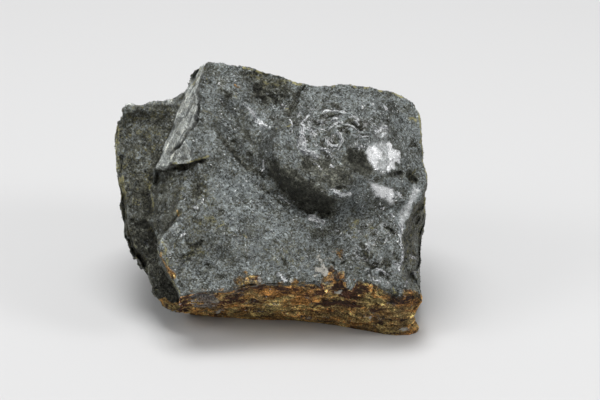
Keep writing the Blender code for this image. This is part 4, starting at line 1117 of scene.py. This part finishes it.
# %% Make the tools for node materials
def new_material(name):
    """A material, its tree, which the tools below add nodes to, and its Principled shader."""
    material = bpy.data.materials.new(name)
    material.use_nodes = True
    return material, material.node_tree, material.node_tree.nodes["Principled BSDF"]

def put(kind, inputs=(), **settings):
    """A new node with its settings, and its inputs given by name or number, as values or links."""
    node = tree.nodes.new("ShaderNode" + kind)
    for name, value in settings.items():
        setattr(node, name, value)
    for key, value in dict(inputs).items():
        if isinstance(value, bpy.types.NodeSocket):
            tree.links.new(value, node.inputs[key])
        else:
            node.inputs[key].default_value = value
    return node

def maths(operation, a, b=0.0, c=0.0):
    """One step of arithmetic on numbers."""
    return put("Math", {0: a, 1: b, 2: c}, operation=operation).outputs[0]

def plus(a, b):
    return maths("ADD", a, b)

def times(a, b):
    return maths("MULTIPLY", a, b)

def times_plus(a, b, c):
    return maths("MULTIPLY_ADD", a, b, c)

def larger(a, b):
    return maths("MAXIMUM", a, b)

def total(terms):
    """The sum of several numbers."""
    result = terms[0]
    for term in terms[1:]:
        result = plus(result, term)
    return result

def around_half(value, share):
    """The value's distance from a half, times a share."""
    return times_plus(value, share, -0.5 * share)

def soft_step(value, low, high):
    """0 below low, 1 above high."""
    return put("MapRange", {0: value, 1: low, 2: high}, interpolation_type="SMOOTHSTEP").outputs[0]

# %% Make the tools for colours and places
def vector_maths(operation, a, b=(0.0, 0.0, 0.0), out=0):
    """One step of arithmetic on places or colours."""
    return put("VectorMath", {0: a, 1: b}, operation=operation).outputs[out]

def scaled(a, scale):
    """A place or a colour, times a number."""
    return put("VectorMath", {0: a, "Scale": scale}, operation="SCALE").outputs[0]

def shaded(colour, terms):
    """The colour, brighter or darker by e to the sum of the terms."""
    return scaled(colour, maths("EXPONENT", total(terms)))

def blend(share, a, b):
    """Colour a where share is 0 and colour b where it is 1."""
    return put("Mix", {0: share, 6: a, 7: b}, data_type="RGBA", clamp_factor=True).outputs[2]

def mask_of(name):
    """A mask stored on the net."""
    return put("Attribute", attribute_name=name).outputs["Fac"]

def mapped(place, turns):
    """The place turned by so many degrees about x and z."""
    turn = (math.radians(turns[0]), 0.0, math.radians(turns[1]))
    return put("Mapping", {"Vector": place, "Rotation": turn}).outputs[0]

def face_coordinates():
    """The place on the piece as (x, v, w) in millimetres, whichever way the lump stands."""
    shift = vector_maths("SUBTRACT", put("TexCoord").outputs["Object"], tuple(FACE_MIDDLE))
    return scaled(mapped(shift, (FACE_LEAN - 90.0, 0.0)), 1.0 / MM)

def drawn_out(place, degrees, stretch):
    """The place, changed so that noise is drawn out along one way in the face."""
    return vector_maths("MULTIPLY", mapped(place, (0.0, -degrees)), (stretch, 1.0, 1.0))

# %% Make the tools for noise and cells
def noise_at(place, size, detail=2.0, roughness=0.6):
    """Soft noise around 0.5 with lumps of one size in millimetres."""
    values = {"Vector": place, "Scale": 1.0 / size, "Detail": detail, "Roughness": roughness}
    return put("TexNoise", values).outputs["Fac"]

def thin_lines(value, wide, narrow, where):
    """Lines along which noise crosses its middle, kept in some places only."""
    off_middle = maths("ABSOLUTE", around_half(value, 1.0))
    return times(soft_step(off_middle, wide, narrow), where)

def blade_cells(place, size, degrees):
    """Drawn-out cells: each one's random colour, and a height that tilts its own way."""
    shrunk = vector_maths("DIVIDE", mapped(place, (0.0, degrees)), size)
    cell = put("TexVoronoi", {"Vector": shrunk, "Scale": 1.0})
    away = vector_maths("SUBTRACT", shrunk, cell.outputs["Position"])
    way = vector_maths("SUBTRACT", cell.outputs["Color"], (0.5, 0.5, 0.5))
    return cell.outputs["Color"], vector_maths("DOT_PRODUCT", away, way, out=1)

# %% Start the ore's material with two nets of crossed blades
ore_finish, tree, shader = new_material("stibnite_ore_finish")
place = face_coordinates()
masks = {name: mask_of(name) for name in MASKS}
patchy, broad = noise_at(place, 2.4, 3.0), noise_at(place, 8.0, 3.0)
colour_a, tilt_a = blade_cells(place, (0.60, 0.27, 0.27), 38.0)
colour_b, tilt_b = blade_cells(place, (0.52, 0.25, 0.25), -50.0)
which = soft_step(noise_at(place, 1.6), 0.47, 0.53)
cell = put("SeparateColor", {0: blend(which, colour_a, colour_b)})
tilt = put("Mix", {0: which, 2: tilt_a, 3: tilt_b}).outputs[0]
fleck_colour, fleck_tilt = blade_cells(place, (0.30, 0.25, 0.25), 10.0)
fleck = put("SeparateColor", {0: fleck_colour}).outputs[1]
down, up = drawn_out(place, -40.0, 0.42), drawn_out(place, 55.0, 0.5)

def crossed(one_way, other_way, size, detail, roughness):
    """Noise that is drawn out one way in some places and another way in the rest."""
    return put("Mix", {0: which, 2: noise_at(one_way, size, detail, roughness),
                       3: noise_at(other_way, size, detail, roughness)}).outputs[0]

speckle = crossed(down, up, 0.75, 5.0, 1.0)
print("the blades' cells take", len(tree.nodes), "nodes")

# %% Mix the brightness of the ore
ORE_LEVEL, ORE_BRIGHTEST = 0.186, 0.36

calm = times_plus(masks["polish"], -0.40, 1.0)
clumps = noise_at(place, 3.4, 4.0, 0.7)
uneven = times_plus(soft_step(clumps, 0.38, 0.62), 0.75, 0.62)
uneven = times_plus(masks["pale_and_lit"], -0.28, uneven)
uneven = times_plus(masks["dark"], 0.50, uneven)
grain = times(calm, total([
    around_half(cell.outputs[0], 0.5),
    around_half(fleck, 1.7),
    times(around_half(speckle, 3.9), uneven),
]))
dark_level = plus(masks["dark"], around_half(noise_at(place, 1.3, 4.0, 0.7), 1.5))
broken_dark = times(soft_step(dark_level, -0.05, 0.95), soft_step(masks["dark"], 0.0, 0.25))
some_places = soft_step(noise_at(place, 4.0, 2.0), 0.49, 0.55)
hairline = thin_lines(noise_at(place, 3.0, 4.0, 0.6), 0.016, 0.004, some_places)
down_too, up_too = [vector_maths("ADD", way, shift) for way, shift in
                    ((down, (7.0, 3.0, 5.0)), (up, (3.0, 9.0, 1.0)))]
strokes = thin_lines(crossed(down_too, up_too, 0.9, 4.0, 0.7), 0.030, 0.008, soft_step(clumps, 0.44, 0.56))
# Painted light and shade: pale places and crests are made lighter, dark places and hollows darker.
level = total([
    grain,
    times(strokes, -0.95),
    around_half(patchy, 2.4),
    around_half(broad, 2.0),
    times(masks["pale_and_lit"], 0.43),
    times(broken_dark, -1.30),
    times(hairline, -0.9),
    around_half(masks["hollow"], -1.3),
])
strength = maths("MINIMUM", times(maths("EXPONENT", level), ORE_LEVEL), ORE_BRIGHTEST)
print("the ore's brightness takes", len(tree.nodes), "nodes")

# %% Tint the grey, and lay the silver and its painted highlights over it
BLUE_TINT = (0.91, 1.0, 1.0, 1.0)
OLIVE_TINT = (0.985, 1.0, 0.82, 1.0)
SILVER_HIGHLIGHT = (0.80, 0.81, 0.82, 1.0)

# The tint follows the brightness, painted light and shade included: olive in the darks, blue in the lights.
warmth = total([level, around_half(noise_at(place, 3.4, 3.0), 2.0), times(masks["olive"], -0.8)])
tint = blend(soft_step(warmth, -0.9, 0.5), OLIVE_TINT, BLUE_TINT)
grey = scaled(tint, strength)
# Painted highlights: the silvery wisps, glints and patches are blended toward a near white silver.
flecks = noise_at(place, 0.7, 4.0, 0.75)
silver_glint_level = plus(masks["silver_glint"], around_half(flecks, 2.0))
silver_glint_share = soft_step(silver_glint_level, 0.35, 0.75)
wisp_glint = thin_lines(crossed(down, up, 1.1, 4.0, 0.65), 0.026, 0.006,
                  soft_step(noise_at(place, 2.0, 3.0), 0.50, 0.58))
silver_glint_share = larger(silver_glint_share, times(wisp_glint, masks["glinting"]))
sheen_share = soft_step(plus(masks["sheen"], around_half(flecks, 0.9)), 0.10, 0.95)
silver_glint_share = larger(silver_glint_share, sheen_share)
grey = blend(silver_glint_share, grey, SILVER_HIGHLIGHT)
print("grey of the ore mixed from", len(tree.nodes), "nodes")

# %% Lay fibres over the pale facets
FIBRE_GREY = (0.185, 0.20, 0.195, 1.0)
FIBRE_PALE = (0.38, 0.40, 0.385, 1.0)
FIBRE_CREAM = (0.80, 0.80, 0.72, 1.0)

down_slope = vector_maths("MULTIPLY", mapped(place, (0.0, -66.0)), (0.17, 1.0, 0.5))
fibre = noise_at(down_slope, 0.65, 4.0, 0.75)
cream = blend(soft_step(fibre, 0.36, 0.50), FIBRE_GREY, FIBRE_PALE)
cream = blend(soft_step(fibre, 0.53, 0.68), cream, FIBRE_CREAM)
# Painted shade: the fibres are darker in hollows and in the dark places.
cream = shaded(cream, [
    around_half(fleck, 0.9),
    around_half(patchy, 2.2),
    around_half(masks["hollow"], -1.8),
    times(broken_dark, -1.2),
    times(hairline, -0.8),
])
facet_level = plus(masks["facet"], around_half(patchy, 1.2))
facet_share = times(soft_step(facet_level, 0.30, 0.75), 0.9)
colour = blend(facet_share, grey, cream)
print("with the fibres it has", len(tree.nodes), "nodes")

# %% Lay dust over everything
OLIVE_DUST = (0.155, 0.145, 0.080, 1.0)
YELLOW_DUST = (0.31, 0.285, 0.125, 1.0)
PALE_DUST = (0.26, 0.25, 0.15, 1.0)
DUST_SHADE = (0.075, 0.072, 0.045, 1.0)

dust_noise = noise_at(place, 1.1, 4.0, 0.75)
dust_level = total([
    masks["dust"],
    times(masks["pale_and_lit"], 0.16),
    around_half(dust_noise, 2.4),
    around_half(masks["hollow"], 0.5),
])
dust_share = times(soft_step(dust_level, 0.45, 0.85), 0.75)
# The dust is paler on the pale places, which carry painted light, and darker in hollows, as painted shade.
dusty = blend(fleck, DUST_SHADE, OLIVE_DUST)
dusty = blend(masks["pale_and_lit"], dusty, PALE_DUST)
dusty = blend(soft_step(masks["dust"], 0.45, 0.75), dusty, YELLOW_DUST)
dusty = shaded(dusty, [
    around_half(speckle, 2.6),
    around_half(patchy, 2.0),
    around_half(masks["hollow"], -1.6),
])
thread = thin_lines(crossed(up, down, 1.2, 4.0, 0.7), 0.030, 0.008,
                    soft_step(noise_at(place, 1.7, 3.0), 0.50, 0.58))
thread = times(thread, soft_step(masks["dust"], 0.26, 0.40))
dusty = blend(thread, dusty, YELLOW_DUST)
dust_share = larger(dust_share, times(thread, 0.8))
colour = blend(dust_share, colour, dusty)
print("with the dust it has", len(tree.nodes), "nodes")

# %% Stain the lower face with rust along its layers
RUST_BLACK = (0.055, 0.022, 0.010, 1.0)
RUST_BROWN = (0.270, 0.145, 0.042, 1.0)
RUST_ORANGE = (0.34, 0.165, 0.044, 1.0)
OCHRE = (0.46, 0.345, 0.13, 1.0)
OLIVE_BROWN = (0.255, 0.175, 0.068, 1.0)
SLATE = (0.11, 0.115, 0.115, 1.0)
CHALK = (0.52, 0.50, 0.45, 1.0)

warp = put("TexNoise", {"Vector": place, "Scale": 0.35, "Detail": 2.0}).outputs["Color"]
along = vector_maths("MULTIPLY", vector_maths("ADD", place, scaled(warp, 3.6)), (0.45, 1.0, 1.0))

def rust_noise(shift, size):
    """Drawn-out noise, different for each shift."""
    return noise_at(vector_maths("ADD", along, (shift, 2.0 * shift, -shift)), size, 5.0, 0.7)

def leaning(shift, size, mask, share):
    """Such noise, raised where a mask is."""
    return times_plus(masks[mask], share, rust_noise(shift, size))

rusty = blend(soft_step(rust_noise(0.0, 1.6), 0.44, 0.56), RUST_BROWN, OLIVE_BROWN)
for shift, size, mask, share, low, high, stain in [
        (31.0, 2.2, "ochre", 0.3, 0.53, 0.61, OCHRE),
        (57.0, 2.6, "orange", 0.2, 0.53, 0.62, RUST_ORANGE),
        (83.0, 1.8, "charred", 0.2, 0.54, 0.62, RUST_BLACK)]:
    rusty = blend(soft_step(leaning(shift, size, mask, share), low, high), rusty, stain)
slate = soft_step(leaning(11.0, 2.4, "slate", 0.2), 0.60, 0.68)
rusty = blend(times(slate, 0.8), rusty, SLATE)
flow = rust_noise(19.0, 2.0)
# Painted shade: the rust is darker in hollows and in the dark places.
rusty = shaded(rusty, [
    around_half(fleck, 1.6),
    around_half(dust_noise, 2.6),
    around_half(masks["hollow"], -2.8),
    around_half(flow, 5.2),
    times(masks["dark"], -0.5),
    0.08,
])
rust_level = plus(masks["rust"], around_half(noise_at(place, 1.2, 5.0, 0.8), 1.8))
rust_share = soft_step(rust_level, 0.32, 0.70)
colour = blend(rust_share, colour, rusty)
chalk_level = plus(masks["chalk"], around_half(flecks, 1.6))
chalk_share = soft_step(chalk_level, 0.45, 0.75)
chalky = shaded(CHALK[:3], [around_half(speckle, 3.0)])
colour = blend(chalk_share, colour, chalky)
tree.links.new(colour, shader.inputs["Base Color"])
print("with the rust it has", len(tree.nodes), "nodes")

# %% Set the ore's metal, gloss and fine relief
BUMP_MM = 0.35

# The painted highlights are also made less metallic and smoother, so that they stay near white.
covered = larger(larger(rust_share, larger(dust_share, facet_share)), chalk_share)
metal = times_plus(silver_glint_share, -0.35, times_plus(covered, -0.78, 0.80))
tree.links.new(larger(metal, 0.0), shader.inputs["Metallic"])
gloss = total([
    times_plus(cell.outputs[2], 0.20, 0.32),
    times(masks["polish"], -0.10),
    times(silver_glint_share, -0.10),
    times(covered, 0.35),
])
tree.links.new(larger(gloss, 0.18), shader.inputs["Roughness"])
relief = times_plus(fleck_tilt, 0.5, tilt)
relief = total([
    times(hairline, -0.5),
    times(relief, times_plus(sheen_share, -0.45, calm)),
    times(times(fibre, facet_share), 1.2),
    times(times(flow, rust_share), 1.6),
    times(dust_noise, 0.8),
])
shader.inputs["Specular IOR Level"].default_value = 0.35
bump = put("Bump", {"Height": relief, "Distance": BUMP_MM * MM, "Strength": 1.0})
tree.links.new(bump.outputs[0], shader.inputs["Normal"])
ore.data.materials.append(ore_finish)
for face in ore.data.polygons:
    face.use_smooth = True
print("the ore's material has", len(tree.nodes), "nodes")

# %% [markdown]
# ## Thousands of blades
# The sparkle of the real ore comes from single blades that stand a hair out of the break, each with
# flat sides. One blade is modelled from a primitive and copied over the net, more on fresh grey
# breaks and fewer on polished and rusty ones. They are joined in three pieces: those seen from in
# front, those on the other sides, and those along the silvery wisps.

# %% Model one blade
bpy.ops.object.select_all(action="DESELECT")
bpy.ops.mesh.primitive_cone_add(vertices=4, radius1=0.5, depth=0.5, end_fill_type="NOTHING",
                                location=(0.0, 0.0, 0.25))
blade = bpy.context.object
blade.name = "blade_pattern"
bpy.ops.object.transform_apply(location=True)
apply_modifier(blade, "MIRROR", use_axis=(False, False, True), merge_threshold=0.001)
bpy.ops.object.mode_set(mode="EDIT")
bpy.ops.mesh.select_all(action="SELECT")
bpy.ops.mesh.normals_make_consistent(inside=False)
bpy.ops.object.mode_set(mode="OBJECT")
blade_points = np.array([vertex.co[:] for vertex in blade.data.vertices])[:, (2, 0, 1)]
blade_faces = [list(face.vertices) for face in blade.data.polygons]
bpy.data.objects.remove(blade)
print("one blade has", len(blade_faces), "faces and lies along x")

# %% Choose where the blades grow
BLADE_SEED = 29

middles, face_normals = face_arrays(ore.data)
areas = read(ore.data.polygons, "area") / MM ** 2
corners = read(ore.data.loops, "vertex_index", 1, int)
first_corner = corners[read(ore.data.polygons, "loop_start", 1, int)]

def on_faces(mask):
    """A mask of the points, read at one corner of each face."""
    return mask[first_corner]

fresh = on_faces((1.0 - 0.9 * polish) * (1.0 - 0.85 * rust) * (1.0 - 0.75 * on_bevel))
seen = on_faces(np.clip(on_main + on_slab + on_bevel + on_wedge, 0.0, 1.0))
shining = on_faces(most(0.8 * wisps, sparks)) ** 2
slope, slope_spread = np.zeros(len(areas)), np.full(len(areas), 180.0)
for where, degrees, either_side in [
        (on_faces(streaked) > 0.5, -38.0, 28.0),
        (on_faces(on_bevel) > 0.5, 66.0, 12.0),
        (on_faces(most(wisps, sparks)) > 0.15, on_faces(way_of(SILVER_GLINT_WISPS + GLINTS)), 25.0)]:
    slope = np.where(where, degrees, slope)
    slope_spread[where] = either_side
print("blades may grow on", round(float((areas * fresh).sum() / 100.0), 1), "square centimetres")

# %% Sow them
BLADE_SMALLEST, BLADE_LARGEST = np.array((0.30, 0.10, 0.08)), np.array((0.95, 0.24, 0.18))
BLADE_CURVE = np.array((1.6, 1.2, 1.0))  # small ones are commoner
BLADE_SINK = 0.03

chance = np.random.default_rng(BLADE_SEED)

def sow(name, weight, count, stretch=1.0, least_shine=0.0):
    """Copies the blade over the faces, by area times weight, and joins the copies in one piece."""
    share = areas * weight
    spots = chance.choice(len(areas), count, p=share / share.sum())
    up = face_normals[spots] + chance.normal(0.0, 0.22, (count, 3))
    up /= np.linalg.norm(up, axis=1)[:, None]
    angle = np.radians(slope[spots] + slope_spread[spots] * chance.uniform(-1.0, 1.0, count))
    long_way = np.stack((np.cos(angle), np.sin(angle), chance.normal(0.0, 0.1, count)), axis=1)
    stray = np.abs(face_normals[spots, 2]) < 0.5
    long_way[stray] = chance.normal(0.0, 1.0, (int(stray.sum()), 3))
    long_way -= up * (long_way * up).sum(axis=1)[:, None]
    long_way /= np.linalg.norm(long_way, axis=1)[:, None]
    wide_way = np.cross(up, long_way)
    centre = middles[spots] + chance.uniform(-0.15, 0.15, (count, 3)) - up * BLADE_SINK
    growth = chance.uniform(0.0, 1.0, (count, 3)) ** BLADE_CURVE
    size = BLADE_SMALLEST + (BLADE_LARGEST - BLADE_SMALLEST) * growth
    size[:, 0] *= stretch
    corners = centre[:, None, :]
    for i, way in enumerate((long_way, wide_way, up)):  # along, across and out of the face
        corners = corners + blade_points[None, :, i, None] * (size[:, i, None] * way)[:, None, :]
    faces = np.array(blade_faces)[None] + (np.arange(count) * len(blade_points))[:, None, None]
    mesh = bpy.data.meshes.new(name)
    places = to_world(corners.reshape(-1, 3)).reshape(corners.shape)
    places[:, :, 2] -= np.minimum(places[:, :, 2].min(axis=1), 0.0)[:, None]  # no blade goes under the floor
    mesh.from_pydata(places.reshape(-1, 3), [], faces.reshape(-1, 3).tolist())
    shine = chance.uniform(least_shine, 1.0, count)
    store(mesh, "shine", "FACE", np.repeat(shine, len(blade_faces)))
    # Each blade takes the painted shade of the ore under it, and some of its dust.
    shade_and_dust = np.clip(on_faces(dark) + 0.3 * on_faces(dust), 0.0, 1.0)[spots]
    store(mesh, "shade_and_dust", "FACE", np.repeat(shade_and_dust, len(blade_faces)))
    piece = bpy.data.objects.new(name, mesh)
    bpy.context.scene.collection.objects.link(piece)
    print(name, "has", count, "blades and", len(mesh.polygons), "triangles")
    return piece

blades_front = sow("blades_front", seen * fresh, 9000)
blades_sides = sow("blades_sides", (1.0 - seen) * fresh, 10000)
# The blades along the wisps are brighter, so many of them are painted glints.
blades_wisps = sow("blades_wisps", shining, 2200, 1.4, 0.75)

# %% [markdown]
# ## The blades' finish
# Each blade is bare metal with a grey of its own. Most are as dark as the ore around them, and only
# one in ten is bright: a painted glint, near white and less metallic. Blades are darker where the ore
# has painted shade.

# %% Build the blades' material
DARK_BLADE = (0.020, 0.021, 0.022, 1.0)
GREY_BLADE = (0.17, 0.18, 0.19, 1.0)
GLINT_BLADE = (0.85, 0.87, 0.88, 1.0)

blade_finish, tree, shader = new_material("stibnite_blade_finish")
shine_in = mask_of("shine")
shade_and_dust_in = mask_of("shade_and_dust")
place = face_coordinates()
# Painted shade darkens the blades; the brightest are painted glints.
level = times_plus(shade_and_dust_in, -0.35, shine_in)
tone = blend(soft_step(level, 0.0, 0.8), DARK_BLADE, GREY_BLADE)
painted_glint = soft_step(level, 0.86, 0.94)
tone = blend(painted_glint, tone, GLINT_BLADE)
dusty = times(soft_step(noise_at(place, 1.3, 4.0, 0.75), 0.55, 0.65), shade_and_dust_in)
tone = blend(dusty, tone, OLIVE_DUST)
tree.links.new(tone, shader.inputs["Base Color"])
tree.links.new(times_plus(shine_in, -0.12, 0.40), shader.inputs["Roughness"])
tree.links.new(times_plus(painted_glint, -0.5, 0.85), shader.inputs["Metallic"])
for piece in (blades_front, blades_sides, blades_wisps):
    piece.data.materials.append(blade_finish)
print("the blades' material has", len(tree.nodes), "nodes")

# %% [markdown]
# ## Hand the pieces over
# The fine skin stands for the solid, and every piece rides on it.

# %% Finish
for piece in (ore, blades_front, blades_sides, blades_wisps):
    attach(piece, "root")
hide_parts(NODE)
bpy.ops.object.select_all(action="DESELECT")
